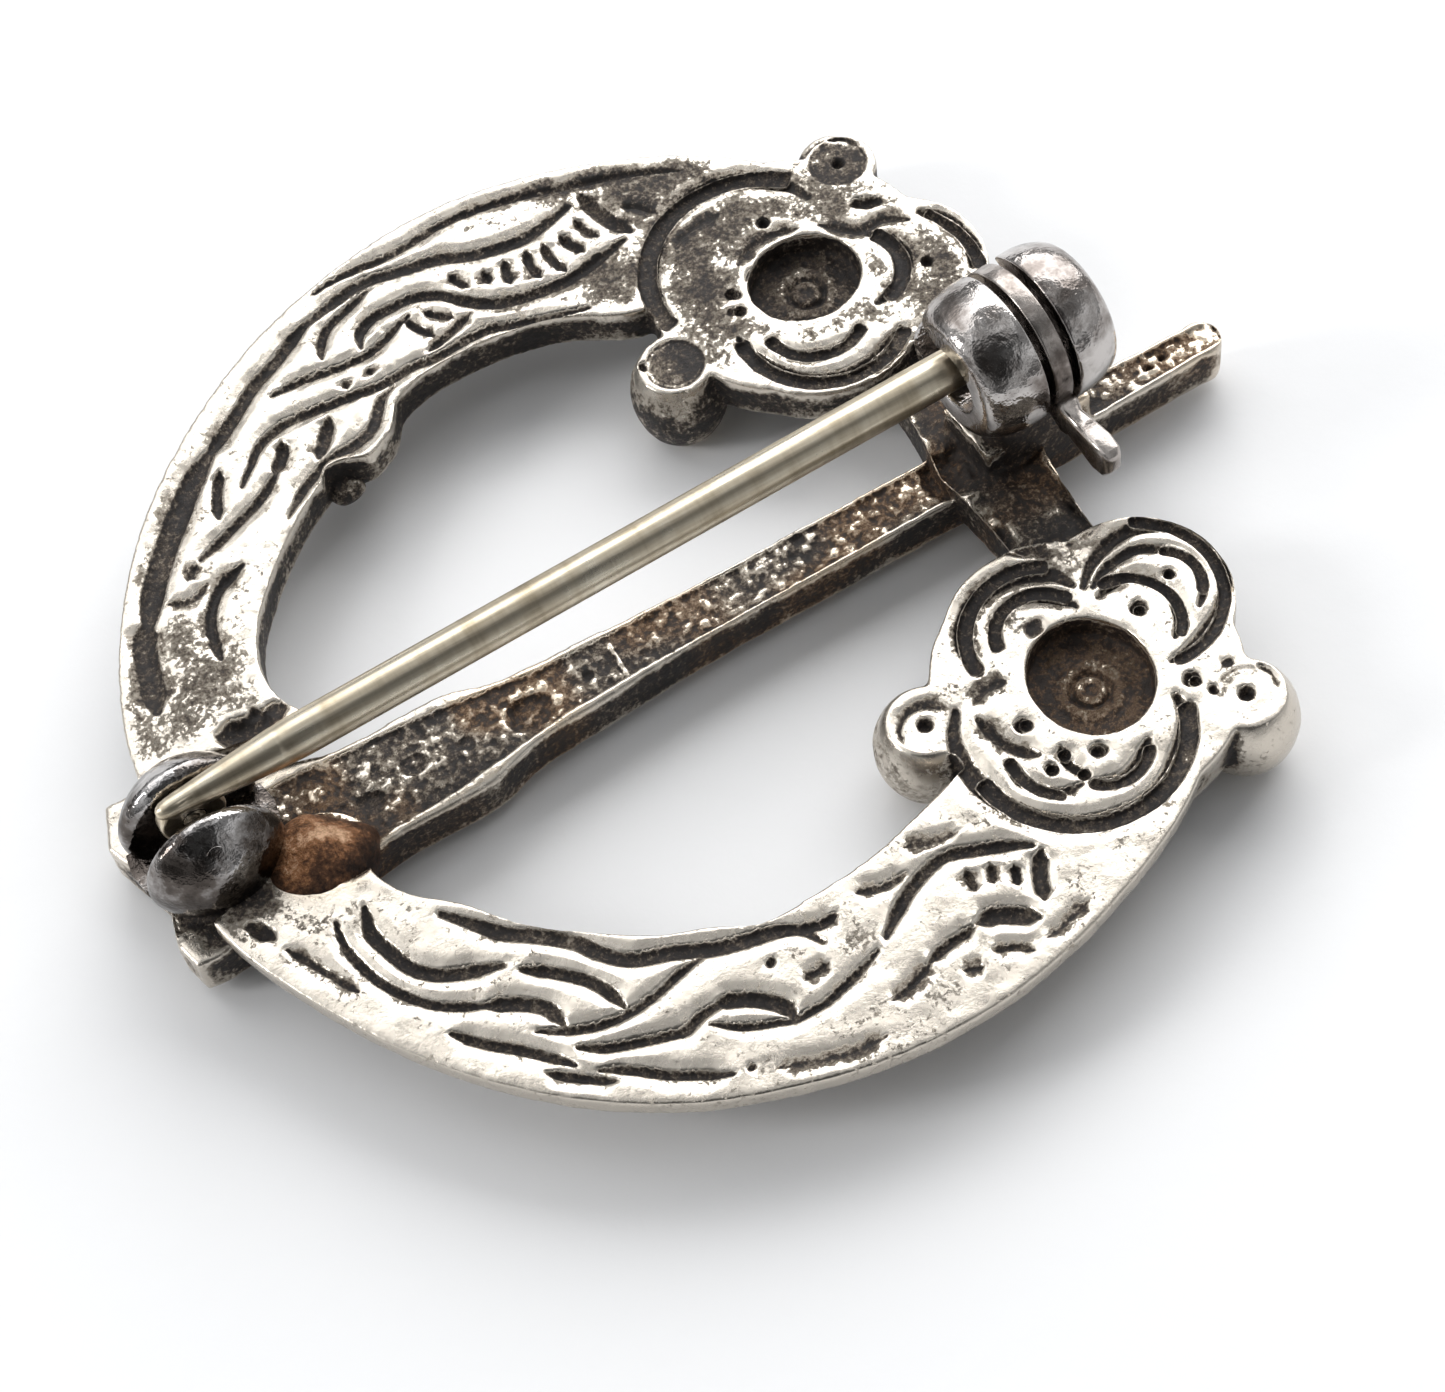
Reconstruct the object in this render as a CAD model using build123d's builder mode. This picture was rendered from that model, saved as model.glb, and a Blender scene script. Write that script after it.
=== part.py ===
from build123d import *
import os
from math import cos, radians, sin, sqrt, tan

# A cast silver penannular brooch, seen and modelled as it lies face down on a table.
# Millimetres. Z is up and Z = 0 is the table. X runs along the centre bar, from the hinge
# at -X to the bar's tip at +X. The hoop's circle is centred on the Z axis.
# Arm A is on the +Y side and arm B on the -Y side.

# Cast body: plan sizes
HOOP_R = 18.35          # outer radius of the hoop
BAR_OUT = 2.1           # how far the bar's tip reaches past the hoop's circle
BAR_W = 2.05            # width of the centre bar at its waist
BAR_Y = -1.1            # where the bar's middle line passes the hinge
BAR_TURN = 1.5          # degrees, the bar's direction seen from above
HEAD_REACH = 2.75       # how far the head reaches behind the hinge

# Cast body: heights and walls
BACK_Z = 3.45           # the hoop's flat back face above the table
PLATE = 1.55            # thickness of the cast plate
EDGE = 0.75             # wall left at the hoop's outer rim below the back face
EDGE_SLOPE = 0.8        # how far the bevel below the rim runs inwards
BAR_DROP = 1.2          # the bar's back face lies this far below the hoop's
BAR_THICK = 1.75        # thickness of the centre bar
KNOB_R = 0.58           # small bead of the front relief that shows past arm A's inner edge
KNOB_DROP = 1.35
KNOB_ANGLE = 127.5      # degrees from +X

# Studs: a round button on the back over a bulging boss that reaches the table
BOSS_WIDEST = 0.45      # height of the widest ring, as a share of BACK_Z

# Terminals: a ring plate with two lobes, and a pit behind the setting
PIT_DEPTH = 0.95
PIT_MARK_DEPTH = 0.08
SETTING_RISE = 0.9      # plain low dome on the front, over the pit
GROOVE_DEPTH = 0.28
DOT_DEPTH = 0.35

# Bridges from the terminals to the bar
BRIDGE_IN = 7.2         # from the hoop's circle to the bridges' middle
BRIDGE_W = 3.7
BRIDGE_WAIST = 0.4      # how far each side draws in
BRIDGE_THICK = 1.7
BRIDGE_DROP = 0.9

# Hinge ball and pin stem
HINGE_IN = 0.95         # the hinge's centre lies this far inside the hoop's circle
HINGE_Y = -0.62
HINGE_R = 2.5
HINGE_RISE = 0.45       # the ball's centre above the hoop's back face
SLOT_CLEAR = 0.1        # from the knuckle to each side of the slot
SLOT_FLOOR_GAP = 0.2
RIVET_R = 0.42
RIVET_SEAT = 0.01       # gap round the rivet in the ball, where it is held
RIVET_CLEAR = 0.05      # gap round the rivet in the knuckle, which turns on it
RIVET_PROUD = 0.06      # how far the rivet's ends stand out of the ball
PIN_R = 0.7
PIN_TURN = 1.8          # degrees, the pin's direction seen from above
PIN_RISE = 1.4          # degrees, the pin climbs a little towards the catch
PIN_AXIS_H = 2.75       # the pin's axis above the back face, over the rivet
PIN_PAST = 2.8          # how far the point reaches past the rotor's middle
PIN_TAPER_L = 5.7
PIN_TIP_R = 0.13
KNUCKLE_R = 1.45
PIN_ROOT_R = 0.62       # the stem narrows a little from the filed ring to the knuckle
MARK_X = 3.3            # a faint filed ring round the pin
MARK_W = 0.22
MARK_DEPTH = 0.035
SOLDER_R = 1.55         # lump of copper-brown solder beside the ball
SOLDER_X = 3.1          # its place from the hinge
SOLDER_Y = -1.75

# Catch: two cheeks on a foot, a hub between them, and a turning rotor
CATCH_IN = 5.55         # from the hoop's circle to the rotor's middle
CATCH_SHIFT = -0.18     # the catch's axis beside the pin's, towards arm B
CATCH_DROP = 0.1        # the catch's axis below the pin's
CATCH_TURN = 5.0        # degrees, soldered on slightly askew
CHEEK_R = 2.62
CHEEK_FACE_R = 1.8      # flat at the outer end of a cheek
CHEEK_LIP = 0.45        # full-radius stretch beside the rotor
CHEEK_NEAR_W = 2.1
CHEEK_FAR_W = 1.85
BORE_CLEAR = 0.45       # gap round the pin in the catch's bore
MOUTH_CLEAR = 0.15      # gap each side of the pin in the mouth
MOUTH_DIR = 20          # degrees above level, on the A side
HUB_WALL = 0.45
HUB_CLEAR = 0.05        # gap between the hub and the rotor that turns on it
ROTOR_R = 2.57
ROTOR_W = 0.68
ROTOR_SIDE_GAP = 0.26
ROTOR_RIM_GAP = 0.3     # gap between the rotor's rim and the foot
ROTOR_MOUTH_DIR = 235   # degrees round from level, where the rotor's slot is when shut
LEVER_REACH = 5.2       # from the catch's axis to the lever's end
LEVER_ROOT = 1.95
LEVER_H = 1.4
LEVER_W = 0.8
LEVER_DROP = 1.25       # the lever's middle below the catch's axis
LEVER_ROUND = 0.5
FOOT_W = 2.6

# Hoop arms in polar form: degrees from +X, inner edge and outer edge as shares of HOOP_R.
ARM_A = [
    # angle, inner, outer
    (172, 0.680, 1.012),
    (167, 0.735, 1.014),
    (160, 0.760, 1.013),
    (150, 0.747, 1.009),
    (138, 0.722, 1.004),
    (129, 0.700, 1.000),
    (124, 0.679, 0.999),
    (117, 0.675, 0.999),
    (110, 0.684, 1.000),
    (102, 0.676, 1.000),
    (90, 0.653, 1.000),
    (81, 0.631, 0.990),
    (72, 0.600, 0.978),
    (61, 0.640, 0.966),
    (50, 0.740, 0.940),
]
ARM_B = [
    # angle, inner, outer
    (170, 0.700, 1.020),
    (165, 0.752, 1.016),
    (158, 0.760, 1.006),
    (150, 0.725, 1.000),
    (141, 0.716, 1.000),
    (129, 0.702, 1.004),
    (120, 0.696, 1.006),
    (114, 0.688, 1.005),
    (109, 0.697, 1.003),
    (100, 0.675, 1.002),
    (90, 0.654, 1.000),
    (80, 0.634, 0.992),
    (72, 0.628, 0.985),
    (61, 0.640, 0.984),
    (51, 0.740, 0.972),
]

# Centre bar: place as a share of the way from the hinge to the tip, half width in bar widths
BAR_STATIONS = [
    # along, half width
    (0.120, 1.02),
    (0.180, 0.96),
    (0.250, 0.88),
    (0.268, 0.76),
    (0.332, 0.63),
    (0.400, 0.55),
    (0.500, 0.49),
    (0.700, 0.48),
    (0.860, 0.40),
    (0.972, 0.34),
]
# The head's outline behind the hinge: shares of HEAD_REACH and of BAR_W
HEAD_CORNERS = [
    # back, across
    (0.47, 2.07),
    (0.80, 2.08),
    (1.00, 1.34),
    (0.69, 0.00),
    (0.85, -0.78),
    (0.76, -1.30),
    (0.42, -1.32),
]

# Sizes in plan that the two terminals have in common, as shares of HOOP_R
TERMINAL_PLAN = {
    "ring": 0.2725,         # radius of the ring plate
    "lobe_in": 0.2016,      # radius of the lobe beside the bridge
    "lobe_out": 0.1717,
    "pit": 0.1063,
    "pit_mark": 0.0327,     # small ring mark on the floor of a pit
    "pit_mark_width": 0.0087,
    "setting": 0.1471,      # radius of the dome on the front
    "stud": 0.0698,
    "boss": 0.0954,
    "boss_foot": 0.0518,    # flat at the foot of a boss
    "dot": 0.0109,
}
# The two terminals. Every place is a pair of shares of HOOP_R, along X and Y.
TERMINALS = {
    "A": {
        "ring": (0.496, 0.490),
        "lobe_in": (0.493, 0.395),
        "lobe_out": (0.665, 0.390),
        "pit": (0.510, 0.466),
        "pit_length": 0.90,     # the pit's length across the arm, in pit widths
        "studs": [
            # x, y, width beside a full boss, how far the boss sits off its button
            (0.700, 0.665, 0.76, 0.0436),
            (0.210, 0.421, 0.95, 0.0000),
        ],
        "grooves": [
            # centre x, centre y, radius, first angle, sweep, width
            (0.450, 0.540, 0.207, 44, 147, 0.0327),
            (0.497, 0.380, 0.161, 173, 141, 0.0272),
            (0.480, 0.385, 0.097, 184, 127, 0.0218),
            (0.597, 0.430, 0.090, -79, 117, 0.0300),
            (0.615, 0.370, 0.192, -19, 52, 0.0218),
        ],
        "dots": [(0.507, 0.619), (0.370, 0.463), (0.720, 0.374), (0.376, 0.505)],
    },
    "B": {
        "ring": (0.496, -0.542),
        "lobe_in": (0.490, -0.455),
        "lobe_out": (0.649, -0.458),
        "pit": (0.499, -0.548),
        "pit_length": 1.10,
        "studs": [
            (0.703, -0.717, 1.00, 0.0000),
            (0.215, -0.477, 1.00, 0.0000),
        ],
        "grooves": [
            (0.425, -0.619, 0.191, -178, 160, 0.0300),
            (0.393, -0.639, 0.100, 166, 73, 0.0191),
            (0.446, -0.676, 0.076, -139, 107, 0.0191),
            (0.480, -0.438, 0.141, 58, 124, 0.0245),
            (0.475, -0.432, 0.082, 23, 150, 0.0218),
            (0.655, -0.451, 0.149, -97, 161, 0.0207),
            (0.701, -0.457, 0.070, -45, 107, 0.0191),
            (0.611, -0.492, 0.092, -49, 141, 0.0196),
        ],
        "dots": [
            (0.354, -0.574), (0.346, -0.671), (0.379, -0.657), (0.387, -0.706),
            (0.431, -0.680), (0.640, -0.481), (0.722, -0.446), (0.643, -0.651),
        ],
    },
}
BRIDGE_ROOT = -0.027    # where the two bridges meet under the bar, a share of HOOP_R along Y

PARTS = "parts"
os.makedirs(PARTS, exist_ok=True)


def on_hoop(angle, share, side):
    """Point in plan at an angle and a share of the hoop's radius, on arm A (1) or B (-1)."""
    reach = HOOP_R * share
    return (reach * cos(radians(angle)), side * reach * sin(radians(angle)))


def in_plan(place):
    """Plan point of a place given in shares of the hoop's radius."""
    return (HOOP_R * place[0], HOOP_R * place[1])


front_z = BACK_Z - PLATE
bar_z = BACK_Z - BAR_DROP
bar_front_z = bar_z - BAR_THICK
hinge_x = HINGE_IN - HOOP_R
bar_length = HOOP_R + BAR_OUT - hinge_x
ball_z = BACK_Z + HINGE_RISE
pin_z = BACK_Z + PIN_AXIS_H
pin_over_rivet = KNUCKLE_R - PIN_R
rivet_z = pin_z - pin_over_rivet
slot_floor = rivet_z - KNUCKLE_R - SLOT_FLOOR_GAP
slot_w = 2 * (PIN_R + SLOT_CLEAR)
rivet_half = sqrt(HINGE_R**2 - (rivet_z - ball_z) ** 2) + RIVET_PROUD

# The hinge's planes: one lies in the slot, with X along the pin, one is square to the rivet.
pin_dir = Vector(cos(radians(PIN_TURN)), sin(radians(PIN_TURN)), tan(radians(PIN_RISE))).normalized()
rivet_dir = Vector(-sin(radians(PIN_TURN)), cos(radians(PIN_TURN)), 0)
slot_plane = Plane(origin=(hinge_x, HINGE_Y, rivet_z), x_dir=pin_dir, z_dir=-rivet_dir)
pin_axis = Axis(slot_plane.from_local_coords((0, pin_over_rivet, 0)), pin_dir)

# The catch's planes: one holds its axis and Z, one is square to its axis.
catch_x = HOOP_R - CATCH_IN
catch_run = catch_x - hinge_x
pin_length = catch_run + PIN_PAST
catch_origin = (
    catch_x,
    HINGE_Y + catch_run * tan(radians(PIN_TURN)) + CATCH_SHIFT,
    pin_z + catch_run * tan(radians(PIN_RISE)) - CATCH_DROP,
)
catch_dir = Vector(cos(radians(CATCH_TURN)), sin(radians(CATCH_TURN)), 0)
catch_side = Vector(-sin(radians(CATCH_TURN)), cos(radians(CATCH_TURN)), 0)
turn_plane = Plane(origin=catch_origin, x_dir=catch_dir, z_dir=-catch_side)
disc_plane = Plane(origin=catch_origin, x_dir=catch_side, z_dir=catch_dir)
catch_axis = Axis(catch_origin, catch_dir)

bore_r = PIN_R + BORE_CLEAR
hub_r = bore_r + HUB_WALL
mouth_w = 2 * (PIN_R + MOUTH_CLEAR)
cheek_in = ROTOR_W / 2 + ROTOR_SIDE_GAP
near_end = cheek_in + CHEEK_NEAR_W
far_end = cheek_in + CHEEK_FAR_W

with BuildPart() as brooch_body:
    # Hoop arms, with the rim bevelled towards the front
    for side, table in ((1, ARM_A), (-1, ARM_B)):
        with BuildSketch(Plane.XY.offset(front_z)):
            with BuildLine():
                outer = Spline([on_hoop(angle, far, side) for angle, near, far in table])
                inner = Spline([on_hoop(angle, near, side) for angle, near, far in table])
                Line(outer @ 0, inner @ 0)
                Line(outer @ 1, inner @ 1)
            make_face()
        extrude(amount=PLATE)
    low_edges = brooch_body.edges().filter_by(GeomType.BSPLINE).group_by(Axis.Z)[0]
    chamfer(low_edges.sort_by(SortBy.LENGTH)[-2:], length=PLATE - EDGE, length2=EDGE_SLOPE)
    with Locations((*on_hoop(KNOB_ANGLE, 0.683, 1), BACK_Z - KNOB_DROP)):
        Sphere(KNOB_R)

    # Terminals: a ring plate and two lobes
    for terminal in TERMINALS.values():
        with BuildSketch(Plane.XY.offset(front_z)):
            for name in ("ring", "lobe_in", "lobe_out"):
                with Locations(in_plan(terminal[name])):
                    Circle(HOOP_R * TERMINAL_PLAN[name])
        extrude(amount=PLATE)

    # Studs: round buttons over bosses that swell below the plate and reach the table
    for terminal in TERMINALS.values():
        for share_x, share_y, width, share_off in terminal["studs"]:
            x, y = in_plan((share_x, share_y))
            off = HOOP_R * share_off
            widest = HOOP_R * TERMINAL_PLAN["boss"] * width
            foot = HOOP_R * TERMINAL_PLAN["boss_foot"]
            with BuildSketch(Plane(origin=(x, y + off, 0), x_dir=(1, 0, 0), z_dir=(0, -1, 0))):
                with BuildLine():
                    top = BACK_Z - off / 2
                    Polyline((foot, 0), (0, 0), (0, top), (widest * 0.72, top))
                    ThreePointArc((widest * 0.72, top), (widest, BACK_Z * BOSS_WIDEST), (foot, 0))
                make_face()
            revolve(axis=Axis((x, y + off, 0), (0, 0, 1)))
            with BuildSketch(Plane((x, y, BACK_Z))):
                Circle(HOOP_R * TERMINAL_PLAN["stud"])
            extrude(amount=-PLATE)

    # Settings: plain low domes on the front, under the pits
    for terminal in TERMINALS.values():
        x, y = in_plan(terminal["pit"])
        rim = HOOP_R * TERMINAL_PLAN["setting"]
        with BuildSketch(Plane(origin=(x, y, front_z), x_dir=(1, 0, 0), z_dir=(0, -1, 0))):
            with BuildLine():
                Polyline((0, -SETTING_RISE), (0, PLATE / 2), (rim, PLATE / 2), (rim, 0))
                ThreePointArc((rim, 0), (rim * 0.72, -SETTING_RISE * 0.6), (0, -SETTING_RISE))
            make_face()
        revolve(axis=Axis((x, y, 0), (0, 0, 1)))

    # Centre bar and its head, one layer lower than the hoop
    bar_plane = Plane((hinge_x, BAR_Y, bar_front_z)).rotated((0, 0, BAR_TURN))
    with BuildSketch(bar_plane):
        with BuildLine():
            left = Spline([(bar_length * along, BAR_W * half) for along, half in BAR_STATIONS])
            right = Spline([(bar_length * along, -BAR_W * half) for along, half in BAR_STATIONS])
            ThreePointArc(left @ 1, (bar_length, 0), right @ 1)
            head = Polyline([(-HEAD_REACH * back, BAR_W * across) for back, across in HEAD_CORNERS])
            Line(left @ 0, head @ 0)
            Line(right @ 0, head @ 1)
        make_face()
    extrude(amount=BAR_THICK)

    # Bridges from the bar out to the terminals, drawn in at the waist
    bridge_at = (HOOP_R - BRIDGE_IN, HOOP_R * BRIDGE_ROOT, BACK_Z - BRIDGE_DROP - BRIDGE_THICK)
    for terminal in TERMINALS.values():
        with BuildSketch(Plane(bridge_at)):
            reach = in_plan(terminal["lobe_in"])[1] - bridge_at[1]
            edge_x = BRIDGE_W / 2
            with BuildLine():
                Line((-edge_x, 0), (edge_x, 0))
                ThreePointArc((edge_x, 0), (edge_x - BRIDGE_WAIST, reach * 0.4), (edge_x, reach))
                Line((edge_x, reach), (-edge_x, reach))
                ThreePointArc((-edge_x, reach), (BRIDGE_WAIST - edge_x, reach * 0.4), (-edge_x, 0))
            make_face()
        extrude(amount=BRIDGE_THICK)

    # Hinge ball with its slot and rivet hole, and the lump of solder beside it
    with Locations((hinge_x, HINGE_Y, ball_z)):
        Sphere(HINGE_R)
    with Locations((hinge_x + SOLDER_X, HINGE_Y + SOLDER_Y, bar_z)):
        Sphere(SOLDER_R)
    with BuildSketch(Plane((hinge_x, HINGE_Y, slot_floor)).rotated((0, 0, PIN_TURN))):
        Rectangle(3 * HINGE_R, slot_w)
    extrude(amount=2 * HINGE_R, mode=Mode.SUBTRACT)
    with BuildSketch(slot_plane):
        Circle(RIVET_R + RIVET_SEAT)
    extrude(amount=HINGE_R, both=True, mode=Mode.SUBTRACT)

    # Catch: cheeks and foot, then the rotor's slot, the hub in it, the bore and the mouth
    with BuildSketch(turn_plane):
        with BuildLine():
            Polyline((-cheek_in, CHEEK_R), (-cheek_in, 0), (-near_end, 0), (-near_end, CHEEK_FACE_R))
            ThreePointArc(
                (-near_end, CHEEK_FACE_R),
                (-near_end + 0.3 * (CHEEK_NEAR_W - CHEEK_LIP), CHEEK_FACE_R + 0.68 * (CHEEK_R - CHEEK_FACE_R)),
                (-cheek_in - CHEEK_LIP, CHEEK_R),
            )
            Line((-cheek_in - CHEEK_LIP, CHEEK_R), (-cheek_in, CHEEK_R))
        make_face()
        with BuildLine():
            Polyline((cheek_in, CHEEK_R), (cheek_in, 0), (far_end, 0), (far_end, CHEEK_FACE_R))
            ThreePointArc(
                (far_end, CHEEK_FACE_R),
                (far_end - 0.3 * (CHEEK_FAR_W - CHEEK_LIP), CHEEK_FACE_R + 0.68 * (CHEEK_R - CHEEK_FACE_R)),
                (cheek_in + CHEEK_LIP, CHEEK_R),
            )
            Line((cheek_in + CHEEK_LIP, CHEEK_R), (cheek_in, CHEEK_R))
        make_face()
    revolve(axis=catch_axis)
    foot_length = near_end + far_end - 2 * CHEEK_LIP
    foot_low = bar_z - BAR_THICK / 2
    foot_plane = Plane(origin=(catch_x, catch_origin[1], foot_low)).rotated((0, 0, CATCH_TURN))
    with BuildSketch(foot_plane):
        with Locations(((far_end - near_end) / 2, 0)):
            Rectangle(foot_length, FOOT_W)
    extrude(amount=catch_origin[2] - CHEEK_R / 2 - foot_low)
    with BuildSketch(disc_plane.offset(-cheek_in)):
        Circle(ROTOR_R + ROTOR_RIM_GAP)
    extrude(amount=2 * cheek_in, mode=Mode.SUBTRACT)
    with BuildSketch(disc_plane.offset(-cheek_in)):
        Circle(hub_r)
    extrude(amount=2 * cheek_in)
    with BuildSketch(disc_plane.offset(-near_end)):
        Circle(bore_r)
        with PolarLocations(CHEEK_R, 1, start_angle=MOUTH_DIR):
            Rectangle(2 * CHEEK_R, mouth_w)
    extrude(amount=near_end + far_end, mode=Mode.SUBTRACT)

    # Pits behind the settings, each with a small ring marked on its floor
    pit_r = HOOP_R * TERMINAL_PLAN["pit"]
    mark_r = HOOP_R * TERMINAL_PLAN["pit_mark"]
    mark_in_r = mark_r - HOOP_R * TERMINAL_PLAN["pit_mark_width"]
    for terminal in TERMINALS.values():
        with BuildSketch(Plane.XY.offset(BACK_Z)):
            with Locations(in_plan(terminal["pit"])):
                Ellipse(pit_r, pit_r * terminal["pit_length"])
        extrude(amount=-PIT_DEPTH, mode=Mode.SUBTRACT)
        with BuildSketch(Plane.XY.offset(BACK_Z - PIT_DEPTH)):
            with Locations(in_plan(terminal["pit"])):
                Circle(mark_r)
                Circle(mark_in_r, mode=Mode.SUBTRACT)
        extrude(amount=-PIT_MARK_DEPTH, mode=Mode.SUBTRACT)

    # Grooves and dots of the cast ornament on the terminals
    for terminal in TERMINALS.values():
        with BuildSketch(Plane.XY.offset(BACK_Z)):
            for share_x, share_y, radius, first, sweep, width in terminal["grooves"]:
                with BuildLine():
                    CenterArc(in_plan((share_x, share_y)), HOOP_R * radius, first, sweep)
                trace(line_width=HOOP_R * width)
        extrude(amount=-GROOVE_DEPTH, mode=Mode.SUBTRACT)
        with BuildSketch(Plane.XY.offset(BACK_Z)):
            with Locations([in_plan(place) for place in terminal["dots"]]):
                Circle(HOOP_R * TERMINAL_PLAN["dot"])
        extrude(amount=-DOT_DEPTH, mode=Mode.SUBTRACT)

with BuildPart() as hinge_rivet:
    with BuildSketch(slot_plane):
        Circle(RIVET_R)
    extrude(amount=rivet_half, both=True)

with BuildPart() as pin_stem:
    # Stem with a filed ring and an ogive point
    with BuildSketch(slot_plane):
        with BuildLine():
            straight = pin_length - PIN_TAPER_L
            Polyline(
                (pin_length, pin_over_rivet),
                (0, pin_over_rivet),
                (0, pin_over_rivet + PIN_ROOT_R),
                (MARK_X, pin_over_rivet + PIN_R),
                (MARK_X + MARK_W / 2, pin_over_rivet + PIN_R - MARK_DEPTH),
                (MARK_X + MARK_W, pin_over_rivet + PIN_R),
                (straight, pin_over_rivet + PIN_R),
            )
            TangentArc(
                (straight, pin_over_rivet + PIN_R),
                (pin_length, pin_over_rivet + PIN_TIP_R),
                tangent=(1, 0),
            )
            Line((pin_length, pin_over_rivet + PIN_TIP_R), (pin_length, pin_over_rivet))
        make_face()
    revolve(axis=pin_axis)
    # Knuckle: a disc as thick as the stem, with the rivet's running hole
    with BuildSketch(slot_plane):
        Circle(KNUCKLE_R)
    extrude(amount=PIN_R, both=True)
    with BuildSketch(slot_plane):
        Circle(RIVET_R + RIVET_CLEAR)
    extrude(amount=2 * PIN_R, both=True, mode=Mode.SUBTRACT)

with BuildPart() as catch_rotor:
    with BuildSketch(disc_plane.offset(-ROTOR_W / 2)):
        Circle(ROTOR_R)
        Circle(hub_r + HUB_CLEAR, mode=Mode.SUBTRACT)
        with PolarLocations(ROTOR_R, 1, start_angle=ROTOR_MOUTH_DIR):
            Rectangle(2 * ROTOR_R, mouth_w, mode=Mode.SUBTRACT)
    extrude(amount=ROTOR_W)
    # Lever: a flat tab on the B side with a rounded end
    with BuildSketch(disc_plane.offset(-LEVER_W / 2)):
        with Locations((-(LEVER_REACH + LEVER_ROOT) / 2, -LEVER_DROP)):
            Rectangle(LEVER_REACH - LEVER_ROOT, LEVER_H)
        fillet(vertices().sort_by(Axis.Y)[:2], LEVER_ROUND)
    extrude(amount=LEVER_W)

brooch_body.part.label = "brooch_body"
hinge_rivet.part.label = "hinge_rivet"
pin_stem.part.label = "pin_stem"
catch_rotor.part.label = "catch_rotor"
export_step(brooch_body.part, f"{PARTS}/brooch_body.step")
export_step(hinge_rivet.part, f"{PARTS}/hinge_rivet.step")
export_step(pin_stem.part, f"{PARTS}/pin_stem.step")
export_step(catch_rotor.part, f"{PARTS}/catch_rotor.step")
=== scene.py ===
# %% [markdown]
# # A cast silver penannular brooch, lying on its face
#
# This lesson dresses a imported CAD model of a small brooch: a cast hoop with two bossed
# terminals, a centre bar, a hinged pin and a turning safety catch. The CAD model is the
# frame. It fixes where everything is and how it moves. The looks are built around it:
# the worn relief on the back, the dark tarnish in it, and the polished fittings.
#
# The photograph was taken from above, so the back of the brooch is what shows.

# %% Load the frame
import bmesh
import bpy
import numpy as np
from math import cos, pi, radians, sin, sqrt, tan
from mathutils import Matrix, Vector


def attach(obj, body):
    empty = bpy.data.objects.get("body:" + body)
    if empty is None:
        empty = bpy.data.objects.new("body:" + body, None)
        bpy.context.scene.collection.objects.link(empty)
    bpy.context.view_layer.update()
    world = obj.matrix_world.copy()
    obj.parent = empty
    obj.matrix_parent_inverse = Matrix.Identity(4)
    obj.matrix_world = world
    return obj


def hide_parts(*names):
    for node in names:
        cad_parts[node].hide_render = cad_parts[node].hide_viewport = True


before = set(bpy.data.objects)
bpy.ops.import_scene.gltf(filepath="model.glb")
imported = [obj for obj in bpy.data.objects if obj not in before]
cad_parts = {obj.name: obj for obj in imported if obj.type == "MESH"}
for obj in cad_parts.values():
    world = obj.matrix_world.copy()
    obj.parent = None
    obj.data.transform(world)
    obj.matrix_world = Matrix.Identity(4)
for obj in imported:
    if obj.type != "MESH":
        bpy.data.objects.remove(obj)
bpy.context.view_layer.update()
print("CAD nodes:", sorted(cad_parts))

# %% [markdown]
# ## Working in millimetres
#
# Blender's Remesh modifier takes no voxel under 0.0001 of a unit, which is 0.1 mm in metres, and
# the relief here needs finer ones. So each piece is built in millimetres, and brought down to
# metres as the last thing that is done to its mesh. The object itself is never scaled.

# %% Helpers: from a bmesh to a finished piece
MM = 0.001


def object_in_mm(name, bm):
    """Makes an object of a bmesh that is in millimetres, and frees the bmesh."""
    mesh = bpy.data.meshes.new(name)
    bm.to_mesh(mesh)
    bm.free()
    obj = bpy.data.objects.new(name, mesh)
    bpy.context.scene.collection.objects.link(obj)
    return obj


def apply_modifiers(obj):
    """Replaces the object's mesh by what its modifiers make of it."""
    bpy.context.view_layer.update()
    graph = bpy.context.evaluated_depsgraph_get()
    mesh = bpy.data.meshes.new_from_object(obj.evaluated_get(graph))
    obj.modifiers.clear()
    obj.data = mesh
    return obj


def cut(obj, cutter, operation="DIFFERENCE"):
    """Cuts a closed mesh by another with the exact boolean, and removes the cutter."""
    modifier = obj.modifiers.new("cut", "BOOLEAN")
    modifier.operation = operation
    modifier.solver = "EXACT"
    modifier.object = cutter
    apply_modifiers(obj)
    bpy.data.objects.remove(cutter)
    return obj


def finish_piece(obj, body, nodes, material, sharp=35):
    """Scales the mesh to metres, shades it, gives it its material, and ties the piece to its body and nodes.
    """
    obj.data.transform(Matrix.Scale(MM, 4))
    obj.data.shade_smooth()
    obj.data.set_sharp_from_angle(angle=radians(sharp))
    obj.data.materials.clear()
    obj.data.materials.append(material)
    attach(obj, body)
    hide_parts(*nodes)
    print(obj.name, "triangles", sum(len(p.vertices) - 2 for p in obj.data.polygons))
    return obj


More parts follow.
